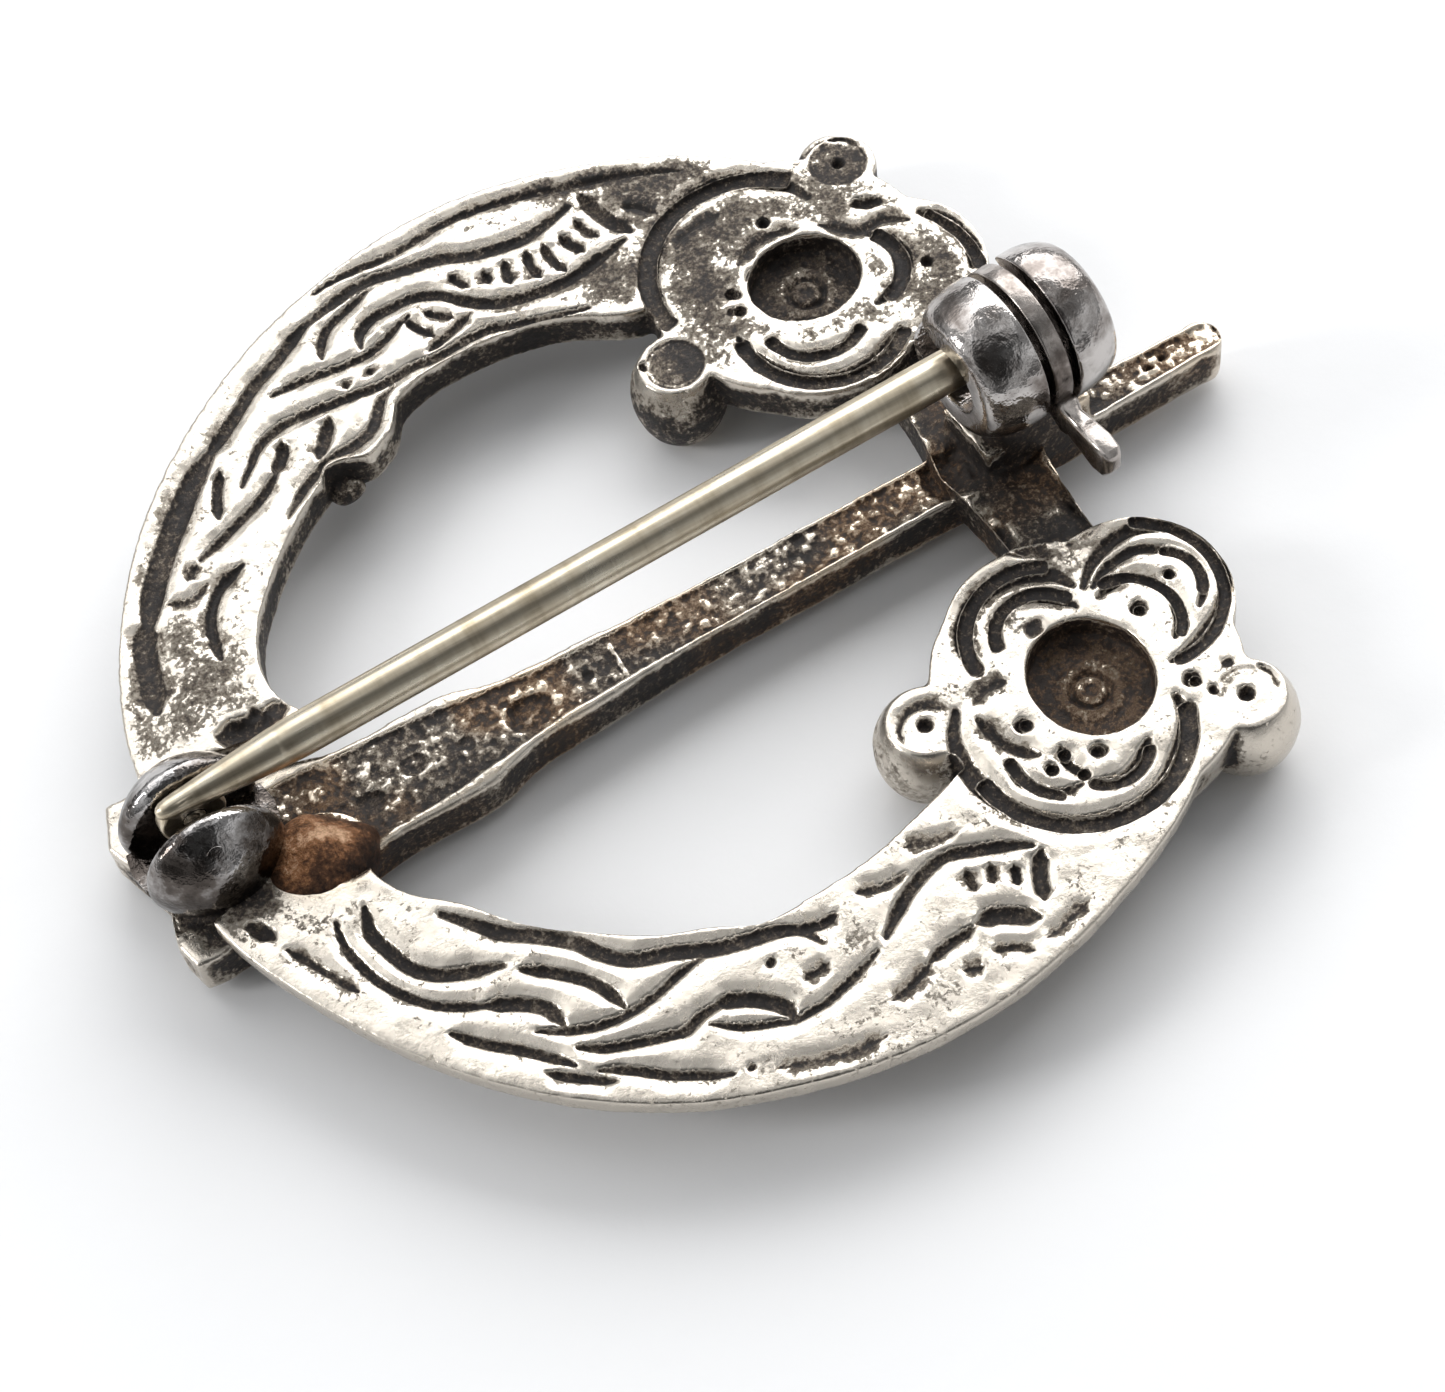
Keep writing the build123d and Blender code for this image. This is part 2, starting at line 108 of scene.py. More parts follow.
def spun(profile, centre, axis, across, steps=96):
    """A closed ring or solid of revolution. The profile is a list of (along, out) pairs."""
    axis, across = Vector(axis).normalized(), Vector(across).normalized()
    bm = bmesh.new()
    verts = [bm.verts.new(Vector(centre) + axis * along + across * out) for along, out in profile]
    edges = [bm.edges.new(pair) for pair in zip(verts, verts[1:])]
    if (Vector(profile[0]) - Vector(profile[-1])).length > 1e-6 and profile[0][1] > 1e-6:
        edges.append(bm.edges.new((verts[-1], verts[0])))
    bmesh.ops.spin(bm, geom=verts + edges, cent=centre, axis=axis, angle=2 * pi, steps=steps, use_merge=True)
    bmesh.ops.remove_doubles(bm, verts=bm.verts, dist=1e-4)
    bmesh.ops.recalc_face_normals(bm, faces=bm.faces)
    return bm


def arc(centre, radius, start, end, count):
    """Points of an arc in a profile, from one angle to another in degrees."""
    angles = [radians(start + (end - start) * i / count) for i in range(count + 1)]
    return [(centre[0] + radius * cos(a), centre[1] + radius * sin(a)) for a in angles]


def block(lowest, highest, turn=0.0, about=(0, 0, 0)):
    """A box between two corners, turned about the Z axis through a point."""
    bm = bmesh.new()
    bmesh.ops.create_cube(bm, size=1.0)
    low, high = Vector(lowest), Vector(highest)
    bmesh.ops.scale(bm, vec=high - low, verts=bm.verts)
    bmesh.ops.translate(bm, vec=(low + high) / 2, verts=bm.verts)
    bmesh.ops.rotate(bm, cent=about, matrix=Matrix.Rotation(radians(turn), 3, "Z"), verts=bm.verts)
    return bm


# %% [markdown]
# ## The sizes that the looks share with the frame
#
# These are the places that the CAD source uses, in millimetres: the hinge at the left end of the
# bar, the catch near its right end, and the hoop's back face. Only the hinge's slot is narrower
# here. The catch was soldered on a little low and aside of the pin's line.

# %% Shared places
BACK_Z = 3.45
BALL_R = 2.5
SLOT_W = 1.30
SLOT_FLOOR = 3.80
PIN_R, PIN_HEIGHT = 0.7, 6.2
KNUCKLE_R = 1.45
CATCH_X, CATCH_ASIDE, CATCH_LOW = 12.8, 0.18, 0.10
UP = Vector((0, 0, 1))
ball = Vector((-17.4, -0.62, 3.9))
rivet = Vector((-17.4, -0.62, 5.45))
pin_turn, pin_rise, catch_turn = radians(1.8), radians(1.4), radians(5)
pin_dir = Vector((cos(pin_turn), sin(pin_turn), tan(pin_rise))).normalized()
rivet_dir = Vector((-sin(pin_turn), cos(pin_turn), 0))
slot_up = rivet_dir.cross(pin_dir) * -1
pin_start = rivet + slot_up * (KNUCKLE_R - PIN_R)
catch_run = CATCH_X - ball.x
catch_y = ball.y + catch_run * tan(pin_turn) - CATCH_ASIDE
catch = Vector((CATCH_X, catch_y, PIN_HEIGHT + catch_run * tan(pin_rise) - CATCH_LOW))
catch_dir = Vector((cos(catch_turn), sin(catch_turn), 0))
print("pin starts at", pin_start[:], "catch at", catch[:])

# %% [markdown]
# ## Silver that has been worn and never cleaned
#
# The casting has one metal and two states. The high places are rubbed bright, and the hollows hold
# a brown-black layer. The mesh carries two attributes: how dark each place is, from tarnish and from
# painted shade, and how brown it is. The material reads them, so that the dark follows the relief
# and the painted shade. Noise in Object coordinates breaks its edges up. In the dark layer the
# surface is rougher and less metallic.

# %% Helpers for materials
def new_material(name):
    """An empty material with a Principled shader and its output."""
    material = bpy.data.materials.new(name)
    material.use_nodes = True
    tree = material.node_tree
    tree.nodes.clear()
    output = tree.nodes.new("ShaderNodeOutputMaterial")
    shader = tree.nodes.new("ShaderNodeBsdfPrincipled")
    tree.links.new(shader.outputs["BSDF"], output.inputs["Surface"])
    return material, tree, shader


def noise(tree, scale, detail=4.0, rough=0.55, stretch=(1, 1, 1)):
    """Noise in Object coordinates. Its scale is in cycles per metre."""
    place = tree.nodes.new("ShaderNodeTexCoord")
    mapping = tree.nodes.new("ShaderNodeMapping")
    mapping.inputs["Scale"].default_value = stretch
    texture = tree.nodes.new("ShaderNodeTexNoise")
    texture.inputs["Scale"].default_value = scale
    texture.inputs["Detail"].default_value = detail
    texture.inputs["Roughness"].default_value = rough
    tree.links.new(place.outputs["Object"], mapping.inputs["Vector"])
    tree.links.new(mapping.outputs["Vector"], texture.inputs["Vector"])
    return texture.outputs["Fac"]


def attribute(tree, name):
    """The value of a mesh attribute."""
    node = tree.nodes.new("ShaderNodeAttribute")
    node.attribute_name = name
    return node.outputs["Fac"]


def maths(tree, operation, first, second=0.0, third=0.0, clamp=False):
    """One Math node. Each input is a socket or a number."""
    node = tree.nodes.new("ShaderNodeMath")
    node.operation = operation
    node.use_clamp = clamp
    for index, value in enumerate((first, second, third)):
        if isinstance(value, (int, float)):
            node.inputs[index].default_value = value
        else:
            tree.links.new(value, node.inputs[index])
    return node.outputs[0]


def weighed(tree, first, first_share, second, second_share):
    """The sum of two sockets, each with its share."""
    part = maths(tree, "MULTIPLY", second, second_share)
    return maths(tree, "MULTIPLY_ADD", first, first_share, part)


def ramp(tree, value, stops):
    """A colour ramp. Stops are (position, colour) with colours of three numbers."""
    node = tree.nodes.new("ShaderNodeValToRGB")
    for element, (position, colour) in zip(node.color_ramp.elements, (stops[0], stops[-1])):
        element.position = position
        element.color = (*colour, 1)
    for position, colour in stops[1:-1]:
        element = node.color_ramp.elements.new(position)
        element.color = (*colour, 1)
    tree.links.new(value, node.inputs["Fac"])
    return node.outputs["Color"]


def spread(tree, value, low, high, to_low, to_high):
    """Maps a value from one range to another, and stops it at the ends."""
    node = tree.nodes.new("ShaderNodeMapRange")
    ends = {"From Min": low, "From Max": high, "To Min": to_low, "To Max": to_high}
    for name, end in ends.items():
        node.inputs[name].default_value = end
    tree.links.new(value, node.inputs["Value"])
    return node.outputs["Result"]


def height_above(tree, axis, low, high, to_low, to_high):
    """A value that follows one Object coordinate between two places in millimetres."""
    place = tree.nodes.new("ShaderNodeTexCoord")
    parts = tree.nodes.new("ShaderNodeSeparateXYZ")
    tree.links.new(place.outputs["Object"], parts.inputs["Vector"])
    return spread(tree, parts.outputs[axis], low * MM, high * MM, to_low, to_high)


def bump(tree, shader, height, distance, strength=1.0):
    """Bump from a height socket. The distance is in metres."""
    node = tree.nodes.new("ShaderNodeBump")
    node.inputs["Strength"].default_value = strength
    node.inputs["Distance"].default_value = distance
    tree.links.new(height, node.inputs["Height"])
    tree.links.new(node.outputs["Normal"], shader.inputs["Normal"])


# %% The cast silver
def cast_silver():
    """Worn silver whose dark layer, tarnish and painted shade, follows the attributes tarnish_and_shade and
    brown.
    """
    material, tree, shader = new_material("worn_cast_silver")
    tarnish_and_shade = attribute(tree, "tarnish_and_shade")
    speckle = spread(tree, noise(tree, 5200, 6, 0.76), 0.34, 0.66, -0.42, 0.42)
    cloud = spread(tree, noise(tree, 800, 5, 0.66), 0.3, 0.7, -0.24, 0.24)
    clinging = spread(tree, tarnish_and_shade, 0.10, 0.55, 0.62, 1.10)
    specks = maths(tree, "MULTIPLY", maths(tree, "ADD", speckle, cloud), clinging)
    mottled = maths(tree, "ADD", tarnish_and_shade, specks)
    layer = spread(tree, mottled, 0.15, 0.90, 0.0, 1.0)
    silver = ramp(tree, layer, [
        (0.00, (0.63, 0.575, 0.50)),
        (0.28, (0.47, 0.415, 0.345)),
        (0.50, (0.22, 0.185, 0.148)),
        (0.70, (0.065, 0.050, 0.040)),
        (1.00, (0.012, 0.009, 0.008)),
    ])
    copper = ramp(tree, layer, [
        (0.00, (0.72, 0.60, 0.46)),
        (0.35, (0.40, 0.27, 0.17)),
        (0.70, (0.13, 0.070, 0.034)),
        (1.00, (0.026, 0.015, 0.009)),
    ])
    mix = tree.nodes.new("ShaderNodeMix")
    mix.data_type = "RGBA"
    tree.links.new(attribute(tree, "brown"), mix.inputs["Factor"])
    tree.links.new(silver, mix.inputs[6])
    tree.links.new(copper, mix.inputs[7])
    tree.links.new(mix.outputs[2], shader.inputs["Base Color"])
    tree.links.new(spread(tree, layer, 0.35, 1.0, 1.0, 0.25), shader.inputs["Metallic"])
    rubbed = spread(tree, noise(tree, 1500, 5, 0.6), 0.3, 0.7, -0.06, 0.08)
    rough = maths(tree, "ADD", spread(tree, layer, 0.0, 0.8, 0.25, 0.50), rubbed)
    tree.links.new(rough, shader.inputs["Roughness"])
    grain = weighed(tree, noise(tree, 3600, 6, 0.72), 1.0, noise(tree, 1100, 3, 0.5), 0.6)
    uneven = maths(tree, "MULTIPLY", grain, spread(tree, layer, 0.05, 0.60, 0.18, 1.25))
    bump(tree, shader, uneven, 0.00010, 0.8)
    return material


worn_silver = cast_silver()

# %% [markdown]
# ## The polished fittings
#
# The hinge and the catch were bought in, soldered on and polished. Their silver is smooth and
# mirrors the room, with soft clouds of handling marks, and painted shade darkens it low down. The pin
# is harder, warmer wire, brushed round its length. The solder beside the hinge has gone coppery.

# %% Polished silver
SOOT_AND_SHADE = (0.018, 0.014, 0.012)


def polished(name, colour, dark, rough_low, rough_high, scale, dents, shade_heights):
    """Smooth metal with clouds of wear, and painted shade that darkens it below the first of the shade
    heights and is gone above the second.
    """
    material, tree, shader = new_material(name)
    cloud = noise(tree, scale, 5, 0.62)
    fine = noise(tree, scale * 7, 5, 0.66)
    tone = weighed(tree, cloud, 0.86, fine, 0.14)
    # painted shade: darker and rougher below the first of the shade heights
    tone = maths(tree, "ADD", tone, height_above(tree, "Z", *shade_heights, -0.22, 0.0))
    colours = ramp(tree, tone, [(0.24, SOOT_AND_SHADE), (0.40, dark), (0.57, colour), (0.75, colour)])
    tree.links.new(colours, shader.inputs["Base Color"])
    shader.inputs["Metallic"].default_value = 1.0
    rough = spread(tree, tone, 0.30, 0.60, rough_high, rough_low)
    tree.links.new(rough, shader.inputs["Roughness"])
    bump(tree, shader, weighed(tree, cloud, 1.0, fine, 0.025), dents, 0.7)
    return material


POLISHED = {
    # colour, colour of worn places, lowest and highest roughness, cloud scale, dents, heights of painted
    # shade
    "polished_silver": ((0.56, 0.53, 0.51), (0.20, 0.175, 0.16), 0.08, 0.28, 480, 0.00020, (3.8, 6.4)),
    "hinge_silver": ((0.50, 0.48, 0.47), (0.11, 0.095, 0.085), 0.06, 0.16, 560, 0.00020, (3.0, 6.2)),
    "rotor_silver": ((0.46, 0.42, 0.39), (0.17, 0.145, 0.13), 0.20, 0.38, 760, 0.00006, (3.0, 5.2)),
}
bright_silver, hinge_silver, rotor_silver = (polished(name, *values) for name, values in POLISHED.items())


# %% Pin wire
def pin_metal():
    """Warm drawn wire, brushed round and round by wear."""
    material, tree, shader = new_material("pin_wire")
    rings = noise(tree, 900, 5, 0.65, (1.0, 0.12, 0.12))
    lines = noise(tree, 2600, 4, 0.6, (0.05, 1.0, 1.0))
    both = weighed(tree, rings, 0.5, lines, 0.5)
    colour = ramp(tree, both, [
        (0.34, (0.34, 0.28, 0.19)),
        (0.48, (0.62, 0.54, 0.41)),
        (0.62, (0.78, 0.71, 0.57)),
    ])
    tree.links.new(colour, shader.inputs["Base Color"])
    shader.inputs["Metallic"].default_value = 1.0
    tree.links.new(spread(tree, both, 0.35, 0.65, 0.38, 0.24), shader.inputs["Roughness"])
    bump(tree, shader, both, 0.00004, 0.6)
    return material


pin_wire = pin_metal()
print("made", pin_wire.name)


# %% Old solder
def solder_metal():
    """Rough coppery solder, with painted shade: a little lighter on top, darker low down and towards arm B.
    """
    material, tree, shader = new_material("old_solder")
    grains = weighed(tree, noise(tree, 900, 4, 0.6), 0.5, noise(tree, 5200, 5, 0.8), 0.5)
    # painted shade: darker low down and on arm B's side, a little lighter on top
    painted_shade_low = height_above(tree, "Z", 2.9, 3.9, -0.12, 0.02)
    painted_shade_arm_b_side = height_above(tree, "Y", -4.1, -2.6, -0.16, 0.02)
    grains_and_shade = maths(tree, "ADD", grains, maths(tree, "ADD", painted_shade_low, painted_shade_arm_b_side))
    colour = ramp(tree, grains_and_shade, [
        (0.27, (0.020, 0.013, 0.011)),
        (0.40, (0.10, 0.050, 0.028)),
        (0.49, (0.34, 0.160, 0.075)),
        (0.60, (0.82, 0.55, 0.36)),
    ])
    tree.links.new(colour, shader.inputs["Base Color"])
    shader.inputs["Metallic"].default_value = 0.85
    tree.links.new(spread(tree, grains_and_shade, 0.35, 0.65, 0.55, 0.30), shader.inputs["Roughness"])
    bump(tree, shader, noise(tree, 5200, 5, 0.70), 0.00012, 0.9)
    return material


old_solder = solder_metal()
print("materials:", [m.name for m in bpy.data.materials])

# %% [markdown]
# ## The strands of the interlace
#
# The relief on the arms is a worn interlace of ribbons, parted by grooves. Each groove is a smooth
# line through a few points, read in plan from the photograph, with a width and a depth in
# millimetres. The plan that they were read in has its centre a little above the frame's.

# %% Grooves of arm A
PLAN_SHIFT_Y = -0.65
STRANDS_A = [
    # width, depth, points
    (0.80, 0.28, [(-16.8, 5.3), (-16.5, 6.5), (-16.2, 7.7), (-15.7, 8.7)]),
    (0.80, 0.32, [(-15.9, 8.2), (-15.0, 9.7), (-14.1, 10.85), (-13.15, 11.9), (-12.1, 13.0),
                  (-11.05, 13.8)]),
    (0.50, 0.28, [(-11.6, 13.4), (-10.0, 14.5), (-8.8, 15.4), (-7.8, 15.9), (-6.8, 16.5), (-5.8, 17.0)]),
    (0.50, 0.26, [(-6.3, 16.75), (-4.7, 17.25), (-3.5, 17.4), (-2.0, 17.1), (-1.0, 16.9), (0.0, 16.45),
                  (0.9, 16.2), (2.0, 16.05), (3.0, 16.2), (3.9, 16.4)]),
    (0.32, 0.24, [(-5.3, 17.9), (-4.2, 18.05), (-2.2, 18.0), (-0.1, 18.2), (1.6, 18.05), (3.0, 17.7),
                  (4.8, 17.15), (6.0, 16.75), (7.0, 16.25), (8.0, 15.7)]),
    (0.32, 0.26, [(-8.4, 14.7), (-7.4, 14.76), (-6.3, 14.6), (-5.1, 14.5), (-4.2, 14.7), (-3.4, 15.05),
                  (-2.9, 15.2)]),
    (0.42, 0.28, [(-4.9, 14.9), (-4.67, 15.45), (-4.1, 15.8), (-3.3, 15.9), (-2.4, 15.85), (-1.6, 15.45),
                  (-1.1, 15.0)]),
    (0.48, 0.30, [(-1.9, 15.65), (-1.3, 15.1), (-0.6, 14.4), (0.2, 13.95), (1.2, 13.7), (2.5, 13.6),
                  (3.7, 13.8), (4.9, 14.05)]),
    (0.34, 0.26, [(-6.25, 15.2), (-6.05, 15.7), (-5.66, 16.2), (-5.1, 16.5), (-4.3, 16.8), (-3.6, 17.05)]),
    (0.38, 0.28, [(-10.8, 11.85), (-10.25, 12.4), (-9.6, 13.05), (-8.7, 13.4), (-7.76, 13.4), (-6.84, 13.3),
                  (-5.8, 13.2), (-5.0, 13.1), (-3.8, 13.2), (-2.9, 13.15), (-0.9, 13.2), (0.0, 12.9),
                  (1.2, 12.5), (2.5, 12.1)]),
    (0.46, 0.28, [(-9.6, 11.76), (-9.1, 12.3), (-8.9, 12.8)]),
    (0.36, 0.27, [(-13.2, 9.9), (-12.2, 10.3), (-11.3, 10.7), (-10.4, 11.1), (-9.5, 11.8)]),
    (0.38, 0.26, [(-12.0, 11.1), (-11.84, 11.6), (-11.6, 12.15), (-11.2, 12.8)]),
    (0.38, 0.26, [(-14.2, 6.0), (-14.1, 6.8), (-13.95, 7.4), (-13.55, 8.1), (-13.0, 8.6), (-12.1, 8.95)]),
    (0.36, 0.24, [(-10.0, 9.85), (-9.1, 10.6), (-8.2, 11.1), (-7.4, 11.5), (-6.3, 12.0), (-5.3, 12.55),
                  (-4.6, 12.85)]),
    (0.40, 0.26, [(-8.1, 11.5), (-7.6, 12.15), (-7.1, 12.8)]),
    (0.30, 0.24, [(-3.1, 15.1), (-2.9, 14.6), (-2.55, 14.0)]),
    (0.26, 0.22, [(-2.4, 15.05), (-2.0, 14.65), (-1.6, 14.3)]),
    (0.30, 0.22, [(-3.0, 13.5), (-2.1, 13.75), (-1.05, 14.15)]),
    (0.30, 0.22, [(-0.95, 16.0), (-0.8, 15.6), (-0.6, 15.2)]),
    (0.32, 0.24, [(0.15, 15.5), (0.1, 14.95)]),
    (0.34, 0.25, [(0.95, 15.55), (0.8, 15.0), (0.72, 14.55)]),
    (0.36, 0.26, [(1.8, 15.5), (1.65, 14.9), (1.7, 14.2)]),
    (0.36, 0.26, [(2.4, 15.4), (2.4, 14.7), (2.6, 14.0)]),
    (0.36, 0.26, [(3.1, 15.4), (3.25, 14.9), (3.5, 14.4)]),
    (0.30, 0.25, [(3.85, 15.75), (3.95, 15.3), (4.2, 14.7)]),
    (0.56, 0.30, [(4.5, 16.6), (4.65, 15.9), (4.85, 15.2), (5.25, 14.3)]),
    (0.22, 0.18, [(5.5, 15.4), (6.0, 15.1), (6.4, 14.5)]),
    (0.22, 0.18, [(-6.0, 13.9), (-6.05, 13.6)]),
    (0.22, 0.18, [(-5.1, 13.95), (-5.05, 13.65)]),
    (0.22, 0.16, [(-13.9, 9.4), (-13.4, 9.8)]),
    (0.24, 0.16, [(-14.9, 8.9), (-14.1, 8.6), (-13.4, 8.9)]),
]
print("arm A has", len(STRANDS_A), "grooves")

# %% Grooves of arm B
STRANDS_B = [
    # width, depth, points
    (0.46, 0.28, [(-14.1, -4.7), (-14.3, -5.6), (-14.1, -6.4), (-13.8, -7.2), (-13.3, -7.8), (-12.6, -8.2),
                  (-11.3, -8.7)]),
    (0.30, 0.25, [(-15.1, -4.7), (-15.2, -5.6), (-15.0, -6.6), (-14.7, -7.4), (-14.2, -8.2), (-13.55, -8.9),
                  (-12.6, -9.5), (-12.0, -9.8)]),
    (0.48, 0.28, [(-12.4, -9.6), (-11.9, -9.85), (-11.3, -10.2), (-10.8, -10.7), (-10.6, -11.4)]),
    (0.30, 0.25, [(-11.4, -11.2), (-10.5, -11.7), (-9.7, -12.0), (-8.8, -12.1), (-7.8, -12.0),
                  (-6.7, -11.7), (-5.8, -11.6)]),
    (0.40, 0.28, [(-10.9, -9.1), (-10.1, -9.7), (-9.35, -10.45), (-8.95, -11.2), (-8.75, -11.9)]),
    (0.52, 0.26, [(-12.2, -6.1), (-11.5, -6.9), (-10.8, -7.7), (-10.0, -8.3), (-9.1, -9.1), (-8.55, -9.9),
                  (-7.8, -10.6), (-6.7, -11.0), (-5.7, -11.5), (-4.7, -11.8), (-3.8, -12.0),
                  (-3.0, -12.4), (-2.6, -13.1)]),
    (0.34, 0.24, [(-13.7, -9.9), (-13.0, -10.7), (-12.2, -11.4), (-11.6, -12.0), (-10.9, -12.8)]),
    (0.30, 0.22, [(-11.8, -12.55), (-11.05, -13.2), (-10.1, -13.9)]),
    (0.34, 0.26, [(-10.6, -12.3), (-9.9, -12.75), (-8.95, -13.1), (-8.0, -13.4), (-7.5, -13.5),
                  (-6.85, -13.3), (-6.05, -13.3)]),
    (0.50, 0.30, [(-6.5, -13.3), (-6.05, -13.3), (-5.3, -13.7), (-4.7, -14.3), (-4.5, -14.9)]),
    (0.32, 0.24, [(-10.4, -13.3), (-9.7, -13.7), (-8.7, -14.5), (-7.8, -15.05), (-7.0, -15.5)]),
    (0.26, 0.22, [(-6.85, -13.7), (-6.05, -14.3), (-5.1, -14.7), (-4.5, -14.9), (-3.55, -14.9),
                  (-2.4, -14.6), (-1.3, -14.2)]),
    (0.24, 0.18, [(-16.8, -4.7), (-16.2, -5.8), (-15.5, -7.2)]),
    (0.24, 0.18, [(-3.7, -13.9), (-2.8, -13.8)]),
    (0.22, 0.10, [(-5.8, -16.0), (-4.7, -16.4), (-3.7, -16.7), (-2.5, -16.8)]),
    (0.42, 0.28, [(-0.9, -13.95), (0.0, -13.25), (0.95, -12.75), (2.0, -12.5), (2.9, -12.8), (3.84, -13.2),
                  (4.5, -13.6)]),
    (0.30, 0.24, [(2.3, -13.3), (2.2, -14.0)]),
    (0.28, 0.24, [(3.05, -13.45), (2.8, -14.05)]),
    (0.28, 0.24, [(3.65, -13.9), (3.4, -14.5)]),
    (0.50, 0.28, [(4.6, -13.9), (4.17, -14.5), (3.84, -15.3)]),
    (0.34, 0.26, [(-0.2, -15.35), (0.55, -15.15), (1.5, -15.05)]),
    (0.60, 0.30, [(1.7, -14.95), (2.3, -15.05), (2.8, -15.35), (3.35, -15.75)]),
    (0.22, 0.16, [(-1.8, -15.9), (-0.9, -15.7), (-0.2, -15.4)]),
    (0.20, 0.14, [(0.5, -16.1), (1.1, -16.35)]),
    (0.26, 0.18, [(1.6, -16.0), (2.3, -16.3), (2.65, -16.65)]),
    (0.18, 0.12, [(3.2, -16.5), (4.0, -16.35), (4.9, -16.1)]),
    (0.32, 0.22, [(-3.0, -12.3), (-2.4, -12.55), (-1.8, -12.5)]),
    (0.30, 0.16, [(-0.9, -12.2), (-0.1, -12.45), (0.7, -12.4)]),
    (0.20, 0.12, [(1.1, -11.6), (2.0, -11.9), (2.8, -12.0)]),
]
print("arm B has", len(STRANDS_B), "grooves")

# %% Grooves of the two terminals
STRANDS_T = [
    # width, depth, points: terminal A, and then terminal B
    (0.62, 0.30, [(4.7, 10.9), (4.85, 11.9), (5.2, 12.65), (5.9, 13.5), (6.7, 14.05), (7.7, 14.4),
                  (8.65, 14.45), (9.5, 14.2), (10.3, 13.6), (10.9, 12.9), (11.15, 12.2)]),
    (0.24, 0.12, [(6.3, 12.7), (6.6, 13.05), (7.4, 13.2), (8.2, 13.2)]),
    (0.52, 0.30, [(14.1, 9.5), (14.65, 8.8), (14.85, 7.9), (14.8, 7.1), (14.4, 6.5)]),
    (0.46, 0.30, [(12.1, 9.7), (12.6, 9.1), (12.75, 8.3), (12.4, 7.6), (11.7, 7.1), (10.9, 6.9)]),
    (0.42, 0.30, [(6.2, 8.1), (6.3, 7.3), (6.6, 6.5), (7.1, 5.75), (7.7, 5.25), (8.5, 4.95), (9.4, 4.95),
                  (10.2, 5.2), (11.0, 5.6)]),
    (0.34, 0.26, [(7.05, 7.3), (7.3, 6.65), (7.9, 6.2), (8.7, 6.0), (9.6, 6.15)]),
    (0.30, 0.18, [(7.7, 10.9), (8.4, 11.35), (9.3, 11.45), (10.2, 11.2)]),
    (0.30, 0.16, [(10.9, 10.9), (11.5, 10.3), (12.0, 9.9), (12.9, 9.9), (13.6, 9.4)]),
    (0.64, 0.30, [(4.9, -8.3), (4.35, -9.1), (4.15, -10.2), (4.25, -11.2), (4.75, -12.4), (5.4, -13.2),
                  (6.2, -13.8), (7.25, -14.1), (8.2, -14.15), (9.1, -13.85), (10.0, -13.2), (10.7, -12.4),
                  (11.0, -11.6)]),
    (0.28, 0.24, [(5.2, -11.0), (5.35, -11.6), (5.75, -12.1), (6.3, -12.5), (6.9, -12.55)]),
    (0.30, 0.26, [(7.0, -11.1), (6.9, -11.7), (7.1, -12.3)]),
    (0.40, 0.28, [(7.15, -12.65), (7.6, -12.9), (8.1, -13.0), (8.85, -12.75), (9.45, -12.3)]),
    (0.36, 0.24, [(5.35, -8.9), (5.5, -9.8), (5.8, -10.45), (6.3, -11.0)]),
    (0.30, 0.14, [(5.5, -8.35), (6.1, -8.1), (6.8, -8.2)]),
    (0.60, 0.26, [(6.25, -7.5), (6.3, -6.7), (6.65, -5.85), (7.4, -5.2), (8.3, -4.95), (9.35, -5.1),
                  (10.1, -5.55), (10.45, -6.2)]),
    (0.34, 0.26, [(7.2, -6.95), (7.5, -6.35), (8.05, -5.95), (8.7, -5.8), (9.35, -6.1), (9.9, -6.6),
                  (10.15, -7.0)]),
    (0.44, 0.28, [(10.7, -6.5), (11.3, -5.95), (12.25, -5.5), (13.2, -5.45), (14.1, -5.85), (14.7, -6.6),
                  (14.9, -7.5), (14.65, -8.6), (14.05, -9.35), (13.3, -9.8), (12.5, -10.1),
                  (11.6, -10.3)]),
    (0.34, 0.26, [(10.95, -6.65), (11.7, -6.25), (12.8, -6.15), (13.6, -6.6), (14.05, -7.25), (14.1, -7.9),
                  (13.85, -8.6), (13.4, -9.05)]),
    (0.38, 0.28, [(10.9, -7.05), (11.7, -6.85), (12.3, -7.05), (12.8, -7.7), (12.85, -8.45), (12.65, -9.1),
                  (12.15, -9.6)]),
    (0.16, 0.14, [(2.95, -8.5), (3.1, -7.9), (3.6, -7.55), (4.2, -7.6), (4.6, -8.0)]),
    (0.18, 0.14, [(13.75, -11.8), (13.95, -12.3), (13.85, -12.8)]),
    (0.18, 0.16, [(13.0, 14.0), (13.5, 13.8), (13.8, 13.2)]),
]
print("the terminals have", len(STRANDS_T), "grooves")

# %% [markdown]
# ## From points to a depth
#
# A groove is smooth in plan, pointed at both ends and rounded at the bottom, and the metal beside
# it slopes softly down to it, so that a ribbon between two grooves is rounded. The helpers run a
# smooth line through the points, and give every vertex of the back its depth below the plain face.

# %% Helpers: smooth lines and groove depth
def smooth_line(points, parts=6):
    """A line that passes smoothly through the points."""
    p = np.array(points, float)
    p = np.vstack([2 * p[0] - p[1], p, 2 * p[-1] - p[-2]])
    line = []
    for a, b, c, d in zip(p, p[1:], p[2:], p[3:]):
        for t in np.arange(parts) / parts:
            bend = (2 * a - 5 * b + 4 * c - d) * t**2 + (3 * b - a - 3 * c + d) * t**3
            line.append(0.5 * (2 * b + (c - a) * t + bend))
    return np.array(line + [p[-2]])


